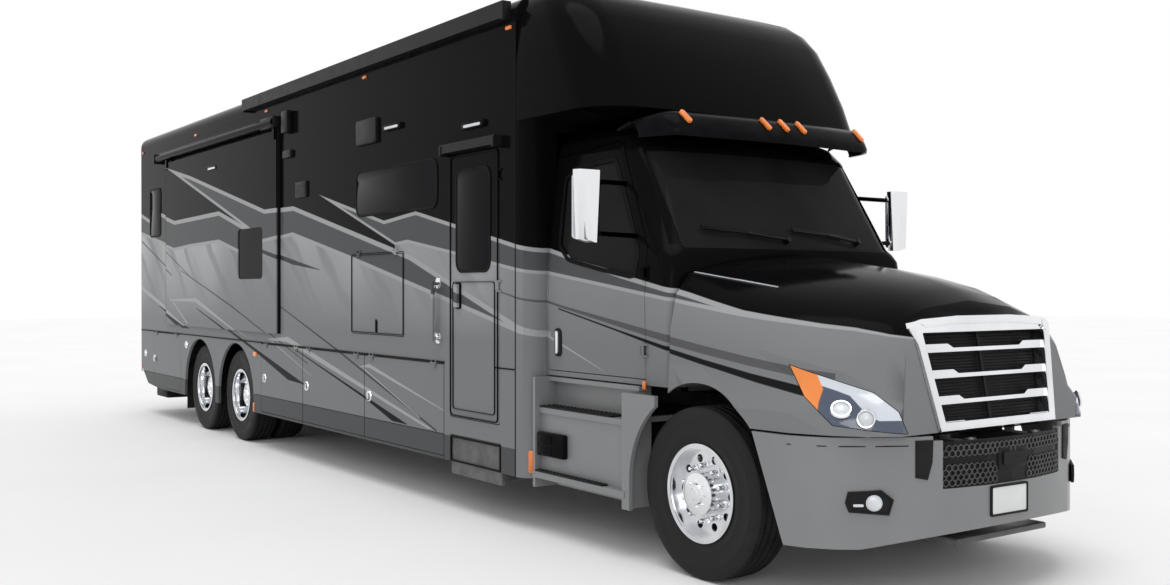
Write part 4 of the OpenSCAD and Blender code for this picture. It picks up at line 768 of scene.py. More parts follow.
for side in (RIGHT, LEFT):
    spot, normal = bumper_at(side * 0.93, 0.001)
    place = facing(spot, normal, 0.60)
    shape(bm, place, FOG_BEZEL, 0.012, 0.005, rim=0.012)
    shape(bm, place @ Matrix.Translation((0, 0, -0.004)), FOG_BEZEL, 0.008)
    turned(bright, [(0.0, 0.018), (0.022, 0.017), (0.036, 0.012), (0.040, 0.006), (0.044, 0.004)],
           place @ Vector((-0.02 * side, 0, 0)), normal, 32)
    plate(bright, place @ Matrix.Translation((0.065 * side, -0.012, 0.004)), 0.055, 0.014, 0.006, 0.005)
    # the vent in the corner beside the mesh
    spot, normal = bumper_at(side * 0.655, 0.001)
    shape(bm, facing(spot, normal, 0.83), CORNER_VENT, 0.008, 0.003)
piece("fog_lamp_bezels", bm, moulded_black)
piece("fog_lamps", bright, clear_lens)


def bumper_line(bm, z, height, out):
    """A thin strip that follows the bumper's face from corner to corner."""
    ys = [1.215, 1.13, 1.05, 0.98, 0.87, 0.76, 0.63, 0.50, 0.36, 0.23]
    ring = []
    for y in [-y for y in ys] + [0.0] + ys[::-1]:
        spot, _ = bumper_at(y, out)
        ring.append(bm.verts.new((spot.x, spot.y, z)))
    edges = [bm.edges.new(p) for p in zip(ring, ring[1:])]
    bmesh.ops.translate(bm, verts=moved(bmesh.ops.extrude_edge_only(bm, edges=edges)),
                        vec=(0, 0, height))


OPENING_HALF = 0.62
bm = bmesh.new()
bumper_line(bm, 0.900, 0.005, 0.0015)
bmesh.ops.solidify(bm, geom=bm.faces[:], thickness=0.0015)
# the seam stops at the mesh opening
bmesh.ops.delete(bm, geom=[f for f in bm.faces if abs(f.calc_center_median().y) < OPENING_HALF],
                 context="FACES")
piece("bumper_seams", bm, seal_rubber)
bm = bmesh.new()
box(bm, (6.30, -0.42, 0.335), (6.56, 0.42, 0.372), 0.012)
piece("lower_lip", bm, dark_grey)
print("bumper fittings made")

# %% [markdown]
# ## Headlights
# Each lamp unit wraps round the fender's corner under a clear cover. Inside are an amber rear
# segment, a bright upper reflector and two projector lamps in a dark housing. The zones are painted
# on the cover's own skin, and the projectors stand just inside its face.

# %% The headlights
REFLECTOR_LINE = [(6.08, 1.235), (6.28, 1.17), (6.45, 1.045)]


def headlight_finish():
    finish = Finish("headlight_zones", Coat_Weight=0.8, Coat_Roughness=0.02)
    # a slanted line parts the amber from the housing, another the housing from the reflector
    amber_side = finish.calc("ADD", finish.x, finish.calc("MULTIPLY", finish.z, 0.42))
    is_amber = finish.span(amber_side, 6.652, 6.646)
    ridge = finish.calc("SUBTRACT", finish.z, height_at(finish, REFLECTOR_LINE))
    is_bright = finish.span(ridge, -0.002, 0.002)
    ripple = finish.noise(60, 1.0)
    colour = finish.mix(is_bright, (0.035, 0.055, 0.10, 1), (0.62, 0.66, 0.72, 1))
    colour = finish.mix(is_amber, colour, (0.85, 0.23, 0.02, 1))
    finish.bump(ripple, 0.0006)
    return finish.done(colour, finish.span(ripple, 0.3, 0.7, 0.08, 0.16))


bpy.data.objects["headlights_skin"].data.materials[0] = headlight_finish()
# each projector's X, Y and Z where the search for the cover starts, and its radius
PROJECTORS = [(6.735, 1.48, 1.10, 0.052), (6.835, 1.40, 1.055, 0.046)]
bm = bmesh.new()
rings = bmesh.new()
spots = []
for side in (RIGHT, LEFT):
    for x, y, z, r in PROJECTORS:
        spot, normal = surface("headlights", (x, side * y, z), (-0.72, -side * 0.70, 0))
        spots.append(spot)
        turned(bm, [(0.0, r * 0.35), (r * 0.5, r * 0.29), (r * 0.8, r * 0.12), (r * 0.88, 0.0)],
               spot, normal, 32)
        turned(rings, [(r * 0.86, 0.002), (r * 0.9, 0.012), (r * 1.05, 0.013), (r * 1.16, 0.001)],
               spot, normal, 32)
piece("projector_lamps", bm, clear_lens, "hood", 60)
piece("projector_rings", rings, chrome, "hood", 60)
print("projector lamps", len(spots))

# %% [markdown]
# ## Cab roof, glass and pillars
# The visor is a deep moulded peak with five amber lamps. Two wipers park along the windscreen's
# foot. The door windows sit in black frames.

# %% Visor and its lamps
low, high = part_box("sun_visor")
VISOR_HALF = high.y
VISOR_FACE = [(0.0, 0.0), (0.006, 0.03), (-0.012, 0.07), (-0.048, 0.13), (-0.10, 0.172), (-0.17, 0.178),
              (-0.36, 0.125)]     # forward of the lip, above the lip


def visor_point(across, ahead, above):
    """A point of the visor's skin. The lip sweeps back and the face shrinks towards each end."""
    t = abs(across)
    sweep = 0.10 * t ** 2 + 0.26 * max(0.0, (t - 0.80) / 0.20) ** 3
    small = 1 - 0.35 * max(0.0, (t - 0.82) / 0.18) ** 2
    return Vector((high.x - 0.008 - sweep + ahead * small, across * (VISOR_HALF - 0.003),
                   low.z + 0.0035 + (above + 0.012 * t ** 6) * small))


def visor_slice(across):
    return [visor_point(across, ahead, above) for ahead, above in VISOR_FACE]


VISOR_STEPS = 48
bm = bmesh.new()
slices = [[bm.verts.new(p) for p in visor_slice(2 * k / VISOR_STEPS - 1)] for k in range(VISOR_STEPS + 1)]
for a, b in zip(slices, slices[1:]):
    for k in range(len(VISOR_FACE) - 1):
        bm.faces.new((a[k], b[k], b[k + 1], a[k + 1]))
bmesh.ops.recalc_face_normals(bm, faces=bm.faces[:])
if sum(f.normal.x for f in bm.faces) < 0:
    bmesh.ops.reverse_faces(bm, faces=bm.faces[:])
bmesh.ops.solidify(bm, geom=bm.faces[:], thickness=0.018)
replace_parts(piece("visor_shell", bm, gloss_black, sharp=60), "sun_visor")
bm = bmesh.new()
for y in (-0.83, -0.17, 0.0, 0.17, 0.83):
    across = y / VISOR_HALF
    a = visor_point(across, *VISOR_FACE[2])
    b = visor_point(across, *VISOR_FACE[4])
    c = visor_point(across + 0.05, *VISOR_FACE[3])
    middle = visor_point(across, *VISOR_FACE[3])
    up = (b - a).normalized()
    out = (c - middle).cross(up).normalized()
    if out.x < 0:
        out = -out
    side = up.cross(out)
    place = Matrix((side, up, out)).transposed().to_4x4()
    place.translation = middle - out * 0.004
    plate(bm, place @ Matrix.Rotation(math.radians(14), 4, "Z"), 0.040, 0.115, 0.020, 0.018, 0, 0.007)
piece("visor_lamps", bm, amber)

# %% Wipers
bm = bmesh.new()
for foot_y, tip_y in ((-0.10, -0.80), (0.62, -0.02)):
    foot, normal = surface("windshield", (6.5, foot_y, 2.03), (-1, 0, 0.02))
    tip, tip_normal = surface("windshield", (6.5, tip_y, 2.13), (-1, 0, 0))
    middle = (foot + tip) / 2
    for a, b, r in ((foot + normal * 0.035, middle + normal * 0.045, 0.011),
                    (middle + normal * 0.045, tip + tip_normal * 0.028, 0.007)):
        rod(bm, a, b, r, 10)
    out = Vector((0.016, 0, 0.006))
    rod(bm, middle * 0.35 + foot * 0.65 + out + Vector((0, 0, 0.03)),
        tip + out + Vector((0, 0, 0.02)), 0.008, 8)
    rod(bm, foot + normal * 0.002, foot + normal * 0.05, 0.02, 16)
piece("wipers", bm, satin_black)

# %% Door window frames
def skin_strip(bm, hits, width, proud, thick):
    """A flat strip laid on a frame part along hits, each a spot and the way the part faces there."""
    verts = []
    for k, (spot, normal) in enumerate(hits):
        after = hits[min(k + 1, len(hits) - 1)][0] - hits[max(k - 1, 0)][0]
        across = normal.cross(after).normalized() * width / 2
        base = spot + normal * proud
        verts.append((bm.verts.new(base - across), bm.verts.new(base + across)))
    for (a, b), (c, d) in zip(verts, verts[1:]):
        bm.faces.new((a, c, d, b))
    bmesh.ops.recalc_face_normals(bm, faces=bm.faces[:])
    bmesh.ops.solidify(bm, geom=bm.faces[:], thickness=thick)


WINDOW_LINE = [(3.70, 2.06), (3.82, 1.965), (4.56, 1.835), (4.585, 1.99), (4.26, 2.605), (3.82, 2.585),
               (3.70, 2.515)]
for side, word in SIDES:
    line = []
    for (xa, za), (xb, zb) in zip(WINDOW_LINE, WINDOW_LINE[1:] + WINDOW_LINE[:1]):
        for t in (0.06, 0.5, 0.94):
            line.append(Vector((xa + (xb - xa) * t, side * 2.0, za + (zb - za) * t)))
    centre = Vector((4.13, side * 2.0, 2.22))
    hits = []
    for p in line + line[:1]:
        p = p + (p - centre).normalized() * 0.022
        hits.append(surface("cab_door_" + word, p, (0, -side, 0)))
    bm = bmesh.new()
    skin_strip(bm, hits, 0.030, 0.003, 0.003)
    piece("cab_window_seal_" + word, bm, seal_rubber, "cab_door_" + word)

# %% Door pulls, mirror backs and cab seams
def on_side(node, x, z, side):
    return surface(node, (x, side * 2.2, z), (0, -side, 0))


for side, word in SIDES:
    door = "cab_door_" + word
    spot, normal = on_side(door, 3.70, 1.365, side)
    place = facing(spot, normal, spot.z)
    bm = bmesh.new()
    plate(bm, place, 0.085, 0.20, 0.012, 0.035, 0, 0.004)
    piece("cab_pull_cup_" + word, bm, moulded_black, door)
    bm = bmesh.new()
    plate(bm, place @ Matrix.Translation((0, 0, 0.012)), 0.040, 0.165, 0.016, 0.018, 0, 0.005)
    piece("cab_pull_" + word, bm, chrome, door)
    # the mirror's glass looks back
    spot, normal = surface("mirror_" + word, (3.0, side * 1.49, 2.27), (1, 0, 0))
    glass = Matrix(((0, 0, -1, spot.x + 0.002), (-1, 0, 0, side * 1.49), (0, 1, 0, 2.27), (0, 0, 0, 1)))
    bm = bmesh.new()
    plate(bm, glass, 0.165, 0.41, 0.005, 0.02, 0, 0.001)
    piece("mirror_glass_" + word, bm, chrome, door)


def chrome_shell():
    """Bright on the mirror's head, black on the arms that carry it."""
    finish = Finish("mirror_shell", Metallic=1.0)
    head = finish.span(finish.calc("ABSOLUTE", finish.y), 1.385, 1.39)
    shade = finish.mix(head, (0.01, 0.01, 0.01, 1), (0.80, 0.81, 0.83, 1))
    return finish.done(shade, finish.span(finish.noise(3), 0.3, 0.7, 0.05, 0.1))


mirror_shell = chrome_shell()
for _, word in SIDES:
    smooth_copy("mirror_" + word, mirror_shell, 40)
print("cab fittings made")

# %% Hood vents and the marker at the sill
for side, word in SIDES:
    line = []
    for k in range(8):
        x, y, z = 4.99 + 0.085 * k, 0.955 - 0.019 * k, 1.845 - 0.0125 * k
        line.append(surface("hood", (x, side * y * 1.6, z + 0.5), (0, -side * 0.6 * y, -0.5)))
    for name, width, proud, finish in (("hood_vent_", 0.055, 0.002, moulded_black),
                                       ("hood_vent_strip_", 0.014, 0.006, clear_lens)):
        bm = bmesh.new()
        skin_strip(bm, line, width, proud, 0.002)
        piece(name + word, bm, finish, "hood")
    bm = bmesh.new()
    plate(bm, side_face(side, 4.70, 1.125, side * 1.130), 0.028, 0.055, 0.012, 0.006, 0, 0.003)
    piece("sill_marker_" + word, bm, amber)

# %% [markdown]
# ## Cab steps
# Two treads of black perforated plate sit on grey mouldings. A black air intake box fills the lower
# bay at the rear end.

# %% Steps
TREAD_THICK, STUD_PITCH, STUD_HIGH = 0.012, 0.045, 0.006
for side, word in SIDES:
    bm = bmesh.new()
    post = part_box("cab_steps")[0].x + 0.035
    for x1, y0, y1, z in ((4.44, 1.085, 1.2175, 0.900), (4.40, 1.2015, 1.2575, 0.445)):
        box(bm, (post, side * y0, z), (x1, side * y1, z + TREAD_THICK), 0.003)
        for k in range(int((x1 - post) / STUD_PITCH)):
            x = post + 0.03 + k * STUD_PITCH
            for y in (y0 + 0.025, (y0 + y1) / 2, y1 - 0.022):
                rod(bm, (x, side * y, z + TREAD_THICK), (x, side * y, z + TREAD_THICK + STUD_HIGH),
                    0.009, 8, 0.006)
    piece("tread_plates_" + word, bm, tread_plate)
    bm = bmesh.new()
    box(bm, (3.60, side * 1.195, 0.56), (3.93, side * 1.245, 0.73), 0.014)
    for z0, z1 in ((0.645, 0.715), (0.575, 0.630)):
        box(bm, (3.62, side * 1.235, z0), (3.80, side * 1.252, z1), 0.007)
    piece("step_intake_" + word, bm, gloss_black)
print("steps dressed")

# %% [markdown]
# ## House windows
# Frameless black glass stands a hair proud of the wall in a slim black ring. Each ring follows the
# pane it belongs to.

# %% The panes and their rings
PANE_THICK, RING_THICK, RING_WIDE, PANE_EDGE = 0.006, 0.008, 0.020, 0.002


def glazed(name, place, width, height, corner, overlap, body="coach"):
    """A pane of glass and the black ring round it, which reaches past it by overlap on each side."""
    bm = bmesh.new()
    plate(bm, place, width, height, PANE_THICK, corner, 0, PANE_EDGE)
    piece(name, bm, privacy_glass, body)
    bm = bmesh.new()
    plate(bm, place, width + 2 * overlap, height + 2 * overlap, RING_THICK, corner + 0.01,
          RING_WIDE, PANE_EDGE)
    piece(name + "_ring", bm, seal_rubber, body)


PANES = [
    ("slide_pane", RIGHT, -2.455, -1.655, 1.845, 2.412, 1.3165, "slide_room_right", 0.09),
    ("rear_pane_right", RIGHT, -6.15, -5.642, 2.458, 3.102, 1.2955, "coach", 0.07),
    ("rear_pane_left", LEFT, -6.15, -5.642, 2.458, 3.102, 1.2955, "coach", 0.07),
    ("galley_pane", RIGHT, 0.665, 2.208, 2.406, 2.80, 1.2955, "coach", 0.09),
    ("entry_pane", RIGHT, 2.535, 3.041, 1.881, 2.667, 1.2955, "entry_door", 0.08),
    ("bunk_pane_left", LEFT, 2.503, 3.107, 2.406, 2.80, 1.2955, "coach", 0.09),
    ("slide_pane_left_1", LEFT, -2.797, -1.293, 1.996, 2.804, 1.3165, "slide_room_left", 0.09),
    ("slide_pane_left_2", LEFT, 0.603, 1.607, 2.196, 2.804, 1.3165, "slide_room_left", 0.09),
]
for name, side, x0, x1, z0, z1, y, body, corner in PANES:
    place = side_face(side, (x0 + x1) / 2, (z0 + z1) / 2, side * y)
    glazed(name, place, x1 - x0, z1 - z0, corner, 0.012, body)

REAR_FACE = -6.6255


def rear_face(y, z, x=REAR_FACE):
    """A place on the coach's back, with X to the right of someone who looks at it."""
    return Matrix(((0, 0, -1, x), (-1, 0, 0, y), (0, 1, 0, z), (0, 0, 0, 1)))


glazed("rear_pane", rear_face(0, 2.55), 0.94, 0.54, 0.08, 0.015)
print("panes", len(PANES) + 1)

# %% [markdown]
# ## Seams, gaskets and rails on the house
# A thin black rail covers the joint between the wall and the skirts. Black gaskets edge the
# slide-outs, and thin lines mark the doors in the skirts.

# %% Seams
def line_on_side(bm, side, x0, z0, x1, z1, width, y, thick=0.003):
    length = math.hypot(x1 - x0, z1 - z0)
    place = side_face(side, (x0 + x1) / 2, (z0 + z1) / 2, side * y) @ Matrix.Rotation(
        math.atan2(z1 - z0, -side * (x1 - x0)), 4, "Z")
    plate(bm, place, length, width, thick)


HOUSE_BACK, CAP_SEAM, SKIRT_LOW, RAIL_Z = -6.60, 3.398, 0.385, 1.158
RAILS = {RIGHT: [(HOUSE_BACK, 2.335, 0.012, 0.010), (3.10, 3.39, 0.010, 0.004)],
         LEFT: [(HOUSE_BACK, 3.39, 0.012, 0.010)]}     # from X, to X, width, thickness
DOOR_LINES = {RIGHT: (-0.632, 0.826, 2.321), LEFT: (-1.195, 2.005)}
bm = bmesh.new()
for side in (RIGHT, LEFT):
    for x0, x1, width, thick in RAILS[side]:
        line_on_side(bm, side, x0, RAIL_Z, x1, RAIL_Z, width, WALL, thick)
    for x in DOOR_LINES[side]:
        line_on_side(bm, side, x, SKIRT_LOW, x, 1.15, 0.006, WALL, 0.0015)
    line_on_side(bm, side, CAP_SEAM, SKIRT_LOW, CAP_SEAM, 3.66, 0.010, WALL)
    for x0, x1 in ((HOUSE_BACK, -4.62), (-1.99, 2.32)):
        line_on_side(bm, side, x0, HEM_TOP, x1, HEM_TOP, 0.005, WALL, 0.0015)
piece("body_seams", bm, seal_rubber)


def gasket(name, side, x0, x1, z0, z1, y, body, width, corner=0.0):
    bm = bmesh.new()
    place = side_face(side, (x0 + x1) / 2, (z0 + z1) / 2, side * y)
    plate(bm, place, x1 - x0, z1 - z0, 0.010, corner, width)
    piece(name, bm, seal_rubber, body)


for side, word in SIDES:
    low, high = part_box("slide_room_" + word)
    gasket("slide_gasket_" + word, side, low.x + 0.004, high.x - 0.004, low.z + 0.004,
           high.z - 0.004, SLIDE - 0.0015, "slide_room_" + word, 0.024)
ON_DOOR = WALL + 0.0002
gasket("kitchen_seam", RIGHT, 0.560, 1.612, 1.348, 2.052, ON_DOOR, "kitchen_door", 0.006)
gasket("entry_seam", RIGHT, 2.432, 3.160, 0.745, 2.785, ON_DOOR, "entry_door", 0.008, 0.04)
gasket("entry_panel_seam", RIGHT, 2.475, 3.115, 0.80, 1.80, ON_DOOR, "entry_door", 0.004, 0.03)
gasket("entry_step_face", RIGHT, 2.43, 3.19, 0.385, 0.585, 1.290, "coach", 0.012)
for side, word in SIDES:
    low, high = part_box("slide_room_" + word)
    bm = bmesh.new()
    line_on_side(bm, side, high.x - 0.28, 3.30, high.x - 0.06, 3.30, 0.006, SLIDE + 0.0005)
    line_on_side(bm, side, high.x - 0.055, 2.45, high.x - 0.055, 3.28, 0.006, SLIDE + 0.0005)
    line_on_side(bm, side, low.x + 0.27, 1.33, low.x + 0.27, 3.32, 0.005, SLIDE + 0.0005)
    box(bm, (high.x - 0.001, side * 1.2965, low.z + 0.002),
        (high.x + 0.003, side * 1.3225, high.z - 0.002), 0.001)
    piece("slide_seams_" + word, bm, seal_rubber, "slide_room_" + word)
print("seams made")

# %% [markdown]
# ## Latches, handles and lamps on the house
# Round chrome paddle latches lock the storage doors. A folding chrome grab handle stands beside the
# entry door, whose own pull is black. Slim lamps, a vent and markers follow the wall.

# %% Round latches
LATCH = [(0.0, 0.010), (0.018, 0.010), (0.022, 0.004), (0.034, 0.004), (0.038, 0.009),
         (0.045, 0.008), (0.050, 0.0)]
LATCHES = {RIGHT: [(-6.397, 0.834, "coach"), (-5.944, 0.785, "bay_door_right_4"),
                   (-4.507, 1.028, "coach"), (-1.714, 0.776, "bay_door_right_1"),
                   (-0.533, 0.771, "bay_door_right_2"), (0.921, 0.781, "bay_door_right_3")],
           LEFT: [(-6.397, 0.834, "coach"), (-4.507, 1.028, "coach"), (-1.10, 0.776, "bay_door_left"),
                  (0.30, 0.771, "bay_door_left"), (1.90, 0.781, "bay_door_left")]}
for side, rows in LATCHES.items():
    for k, (x, z, body) in enumerate(rows):
        bm = bmesh.new()
        turned(bm, LATCH, (x, side * WALL, z), (0, side, 0), 32)
        plate(bm, side_face(side, x, z - 0.004, side * (WALL + 0.009)), 0.016, 0.05, 0.006,
              0.006, 0, 0.002)
        piece("latch_" + ("right_" if side < 0 else "left_") + str(k + 1), bm, chrome, body)

# %% Grab handle, entry pull and kitchen latch
bm = bmesh.new()
for z in (1.345, 1.79):
    plate(bm, side_face(RIGHT, 2.237, z, -WALL), 0.075, 0.085, 0.012, 0.025, 0, 0.004)
GRAB_X, GRAB_Y, GRAB_LOW, GRAB_HIGH = 2.215, -1.335, 1.36, 1.77
rod(bm, (GRAB_X, GRAB_Y, GRAB_LOW), (GRAB_X, GRAB_Y, GRAB_HIGH), 0.013, 20)
for z in (GRAB_LOW, GRAB_HIGH):
    rod(bm, (GRAB_X, -1.305, z), (GRAB_X, GRAB_Y, z), 0.012, 16)
box(bm, (2.195, -1.345, 1.36), (2.235, -1.322, 1.50), 0.006)
rod(bm, (2.237, -1.318, 1.345), (2.30, -1.318, 1.33), 0.012, 16)
piece("grab_handle", bm, chrome)
bm = bmesh.new()
plate(bm, side_face(RIGHT, 2.562, 1.690, -WALL), 0.085, 0.205, 0.014, 0.016, 0, 0.004)
plate(bm, side_face(RIGHT, 2.562, 1.705, -WALL - 0.014), 0.036, 0.13, 0.014, 0.012, 0, 0.004)
piece("entry_pull", bm, gloss_black, "entry_door")
bm = bmesh.new()
turned(bm, [(0.0, 0.004), (0.009, 0.004), (0.010, 0.0)], (2.562, -WALL - 0.014, 1.612), (0, -1, 0),
       16)
piece("entry_lock", bm, chrome, "entry_door")
bm = bmesh.new()
plate(bm, side_face(RIGHT, 1.083, 1.415, -WALL), 0.034, 0.115, 0.012, 0.012, 0, 0.004)
piece("kitchen_latch", bm, gloss_black, "kitchen_door")

# %% Wall lamps, vents and markers
bm = bmesh.new()
glow = bmesh.new()
for side, spots in ((RIGHT, [(-3.353, 3.18, SLIDE), (1.427, 3.14, WALL), (2.812, 3.0, WALL)]),
                    (LEFT, [(-2.0, 3.10, SLIDE), (1.0, 3.10, SLIDE)])):
    for x, z, out in spots:
        y = side * out
        plate(bm, side_face(side, x, z, y), 0.34, 0.055, 0.026, 0.02, 0, 0.006)
        plate(glow, side_face(side, x, z - 0.004, y + side * 0.026), 0.25, 0.022, 0.006, 0.01, 0, 0.002)
piece("wall_lamps", bm, gloss_black)
piece("wall_lamp_lenses", glow, clear_lens)
bm = bmesh.new()
plate(bm, side_face(RIGHT, 0.912, 3.152, -WALL), 0.42, 0.225, 0.030, 0.02, 0, 0.008)
plate(bm, side_face(RIGHT, 0.912, 3.05, -WALL - 0.030), 0.36, 0.012, 0.008)
plate(bm, side_face(RIGHT, -0.638, 2.74, -WALL), 0.28, 0.16, 0.022, 0.012, 0, 0.005)
plate(bm, side_face(RIGHT, -0.998, 3.13, -WALL), 0.22, 0.08, 0.030, 0.02, 0, 0.006)
for k in range(5):
    plate(bm, side_face(RIGHT, -0.638, 2.69 + 0.024 * k, -WALL - 0.022), 0.24, 0.008, 0.005)
piece("wall_vents", bm, satin_black)
ambers = bmesh.new()
for side in (RIGHT, LEFT):
    for x in (-4.088, -1.628, 0.842, 3.312):
        plate(ambers, side_face(side, x, 3.652, side * WALL), 0.075, 0.028, 0.014, 0.01, 0, 0.005)
    plate(ambers, side_face(side, -1.991, 1.023, side * WALL), 0.085, 0.05, 0.014, 0.012, 0, 0.006)
    plate(ambers, side_face(side, -2.04, 0.435, side * WALL), 0.035, 0.10, 0.006, 0.006, 0, 0.002)
    spot, normal = surface("front_cap", (3.52, side * 2.0, 0.50), (0, -side, 0))
    plate(ambers, facing(spot, normal, 0.50), 0.032, 0.16, 0.006, 0.006, 0, 0.002)
piece("side_markers", ambers, amber)
reds = bmesh.new()
for side in (RIGHT, LEFT):
    plate(reds, side_face(side, -6.585, 0.62, side * WALL), 0.04, 0.10, 0.006, 0.006, 0, 0.002)
    plate(reds, side_face(side, -6.50, 3.652, side * WALL), 0.075, 0.028, 0.014, 0.01, 0, 0.005)
piece("rear_side_markers", reds, red_lens)

# %% [markdown]
# ## Awnings
# The long awning lies rolled at the roof's edge between its end caps. The slide-out's topper rolls on
# a tube in two brackets, and a short one shades the entry door.

# %% Awning rolls and brackets
def roll(name, x0, x1, y, z, r):
    bm = bmesh.new()
    turned(bm, [(0.0, x1 - x0), (r, x1 - x0), (r, 0.0), (0.0, 0.0)], (x0, y, z), (1, 0, 0), 28)
    piece(name, bm, awning_cloth)


TOPPER_Y, TOPPER_Z, TOPPER_R = 1.338, 3.492, 0.040
BRACKET_IN, BRACKET_OUT = 1.297, 1.385
roll("topper_roll_right", -5.62, -1.60, -TOPPER_Y, TOPPER_Z, TOPPER_R)
roll("topper_roll_left", -3.85, 2.40, TOPPER_Y, TOPPER_Z, TOPPER_R)
bm = bmesh.new()
for side, x0, x1 in ((RIGHT, -5.668, -1.573), (LEFT, -3.90, 2.45)):
    for x in (x0, x1):
        box(bm, (x - 0.02, side * BRACKET_IN, 3.425), (x + 0.02, side * BRACKET_OUT, 3.555), 0.008)
    box(bm, (x0, side * BRACKET_IN, 3.535), (x1, side * 1.335, 3.558), 0.004)
box(bm, (-1.573, -BRACKET_OUT, 3.43), (-1.221, -BRACKET_IN, 3.55), 0.012)
box(bm, (-1.06, -1.36, 3.345), (-0.895, -BRACKET_IN, 3.57), 0.01)
for x in (2.372, 3.180):
    box(bm, (x, -1.372, 2.79), (x + 0.03, -BRACKET_IN, 2.87), 0.006)
for x in (-2.208, 3.30):
    box(bm, (x, -1.368, 3.70), (x + 0.045, -1.296, 3.842), 0.012)
piece("awning_brackets", bm, satin_black)
print("awnings dressed")

# %% [markdown]
# ## The rear
# The rear carries upright lamp stacks, markers along the top, a ladder, a blank plate, mud flaps
# behind the driven wheels and a low black box under each side of the tail.

# %% Rear lamps, ladder and mud flaps
bezel = bmesh.new()
red = bmesh.new()
clear = bmesh.new()
for side in (RIGHT, LEFT):
    y = side * 1.13
    plate(bezel, rear_face(y, 1.42), 0.17, 0.62, 0.020, 0.04, 0, 0.006)
    for z in (1.62, 1.43):
        plate(red, rear_face(y, z, REAR_FACE - 0.020), 0.125, 0.16, 0.012, 0.03, 0, 0.005)
    plate(clear, rear_face(y, 1.235, REAR_FACE - 0.020), 0.125, 0.13, 0.012, 0.03, 0, 0.005)
for y in (-0.17, 0.0, 0.17, -1.0, 1.0):
    plate(red, rear_face(y, 3.62), 0.11, 0.035, 0.014, 0.012, 0, 0.005)
for y in (-0.8, 0.8):
    plate(red, rear_face(y, 0.62), 0.08, 0.08, 0.008, 0.035, 0, 0.003)
piece("tail_bezels", bezel, chrome)
piece("tail_lamps", red, red_lens)
piece("reverse_lamps", clear, clear_lens)
bm = bmesh.new()
LADDER_X, LADDER_IN, LADDER_OUT, RUNG_STEP = -6.70, 0.62, 0.98, 0.28
for y in (LADDER_IN, LADDER_OUT):
    rod(bm, (LADDER_X, y, 1.35), (LADDER_X, y, 3.62), 0.014, 14)
    for z in (1.45, 2.5, 3.55):
        rod(bm, (-6.625, y, z), (LADDER_X, y, z), 0.012, 12)
for k in range(8):
    z = 1.5 + RUNG_STEP * k
    rod(bm, (LADDER_X, LADDER_IN, z), (LADDER_X, LADDER_OUT, z), 0.012, 12)
piece("ladder", bm, steel)
bm = bmesh.new()
for side in (RIGHT, LEFT):
    box(bm, (-4.66, side * 0.62, 0.20), (-4.645, side * 1.24, 0.80), 0.003)
    box(bm, (-6.35, side * 0.86, 0.235), (-5.85, side * 1.16, 0.385), 0.02)
piece("mud_flaps", bm, moulded_black)
REAR_PLATE_Z = 0.95
bm = bmesh.new()
plate(bm, rear_face(0, REAR_PLATE_Z), PLATE_WIDE + 0.027, PLATE_HIGH + 0.024, 0.010, 0.012, 0.012,
      0.002)
plate(bm, rear_face(0, REAR_PLATE_Z), 0.80, 0.24, 0.004, 0.02)
piece("rear_plate_recess", bm, moulded_black)
bm = bmesh.new()
plate(bm, rear_face(0, REAR_PLATE_Z, REAR_FACE - 0.005), PLATE_WIDE, PLATE_HIGH, 0.003, 0.010, 0,
      0.001)
piece("rear_blank_plate", bm, plate_white)
print("rear dressed")

# %% [markdown]
# ## The roof
# Two air conditioners under moulded covers, vents with lids and four solar panels lie along the roof.
# The covers and vents are the frame's own, and the covers get louvres here.

# %% Roof gear
PANELS = [(-3.9, -0.55), (-3.9, 0.55), (0.7, -0.6), (0.7, 0.6)]
bm = bmesh.new()
cells = bmesh.new()
for x, y in PANELS:
    z = surface("roof", (x, y, 5), (0, 0, -1))[0].z
    top = z + 0.040
    box(bm, (x - 0.55, y - 0.36, z + 0.008), (x + 0.55, y + 0.36, top), 0.006)
    for i in range(6):
        for j in range(4):
            cx, cy = x - 0.44 + 0.176 * i, y - 0.26 + 0.173 * j
            box(cells, (cx - 0.082, cy - 0.080, top), (cx + 0.082, cy + 0.080, top + 0.003), 0.002)
piece("solar_frames", bm, steel)
piece("solar_cells", cells, privacy_glass)
bm = bmesh.new()
for x in (-4.7, -0.3):
    for k in range(9):
        box(bm, (x - 0.36 + 0.08 * k, -0.33, 4.095), (x - 0.33 + 0.08 * k, 0.33, 4.108), 0.002)
piece("cooler_louvres", bm, white_shell)

# %% [markdown]
# ## Light and floor
# The world is white to the camera, in gloss and through glass, and lights all else at a plain level.
# The floor is pale and keeps the coach's shadow. Two broad suns, one overhead and one from the front
# corner, keep colours about as they are written.

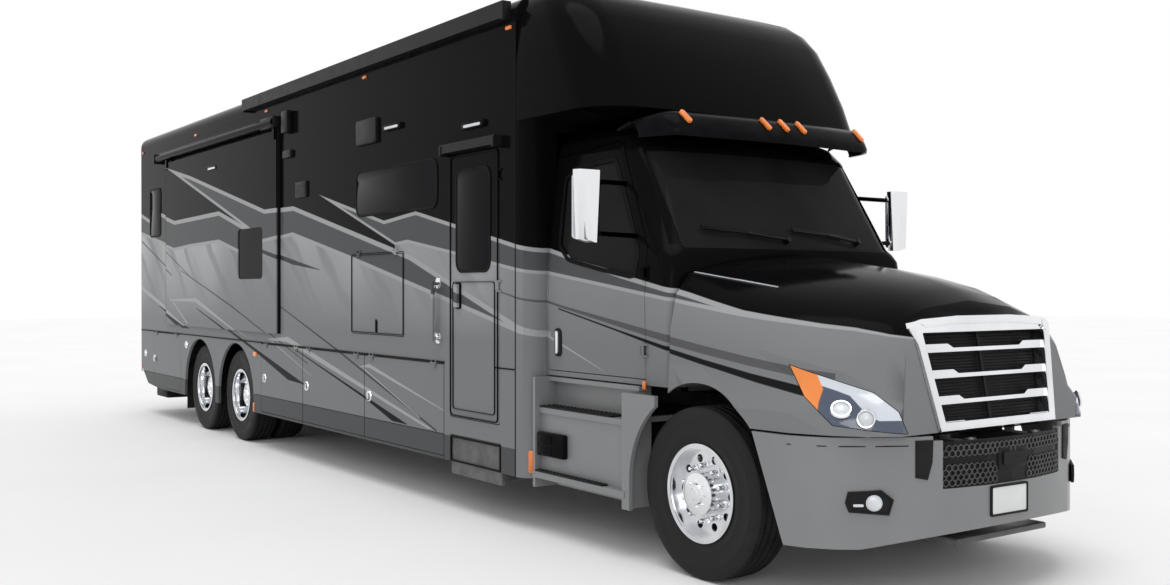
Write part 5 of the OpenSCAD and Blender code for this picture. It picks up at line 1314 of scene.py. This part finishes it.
# %% The floor, the world and the lamps
def white_to_camera(tree, plain, target):
    """target shows white to the camera, in gloss and through glass, and plain to all else."""
    path = tree.nodes.new("ShaderNodeLightPath")
    seen = path.outputs["Is Camera Ray"]
    for ray in ("Is Glossy Ray", "Is Transmission Ray"):
        node = tree.nodes.new("ShaderNodeMath")
        node.operation = "MAXIMUM"
        tree.links.new(seen, node.inputs[0])
        tree.links.new(path.outputs[ray], node.inputs[1])
        seen = node.outputs[0]
    mix = tree.nodes.new("ShaderNodeMixShader")
    bright = tree.nodes.new("ShaderNodeBackground")
    bright.inputs["Color"].default_value = (1, 1, 1, 1)
    tree.links.new(seen, mix.inputs[0])
    tree.links.new(plain, mix.inputs[1])
    tree.links.new(bright.outputs[0], mix.inputs[2])
    tree.links.new(mix.outputs[0], target.inputs[0])


ROOM_LIGHT = 0.62
world = bpy.data.worlds.new("white_room")
bpy.context.scene.world = world
world.use_nodes = True
room = world.node_tree.nodes["Background"]
room.inputs["Color"].default_value = (1, 1, 1, 1)
room.inputs["Strength"].default_value = ROOM_LIGHT
white_to_camera(world.node_tree, room.outputs[0], world.node_tree.nodes["World Output"])

floor_finish = Finish("floor_white", Roughness=0.9, Specular_IOR_Level=0.1)
floor_finish.done(floor_finish.mix(floor_finish.span(floor_finish.noise(0.4), 0.3, 0.7),
                                   (0.93, 0.93, 0.93, 1), (0.96, 0.96, 0.96, 1)))
bm = bmesh.new()
bmesh.ops.create_grid(bm, x_segments=1, y_segments=1, size=60)
mesh = bpy.data.meshes.new("floor")
bm.to_mesh(mesh)
bm.free()
mesh.materials.append(floor_finish.material)
floor = bpy.data.objects.new("floor", mesh)
bpy.context.scene.collection.objects.link(floor)


def sun(name, place, aim, energy, spread):
    """A sun that shines from place towards aim, as wide as spread in degrees."""
    data = bpy.data.lights.new(name, "SUN")
    data.energy = energy
    data.angle = math.radians(spread)
    obj = bpy.data.objects.new(name, data)
    obj.location = place
    obj.rotation_euler = (Vector(aim) - Vector(place)).to_track_quat("-Z", "Y").to_euler()
    bpy.context.scene.collection.objects.link(obj)


sun("overhead", (2, -4, 20), (0, 0, 0), 1.1, 40)
sun("fill", (16, -14, 9), (0, 0, 1), 0.55, 30)
print("lamps", len(bpy.data.lights))
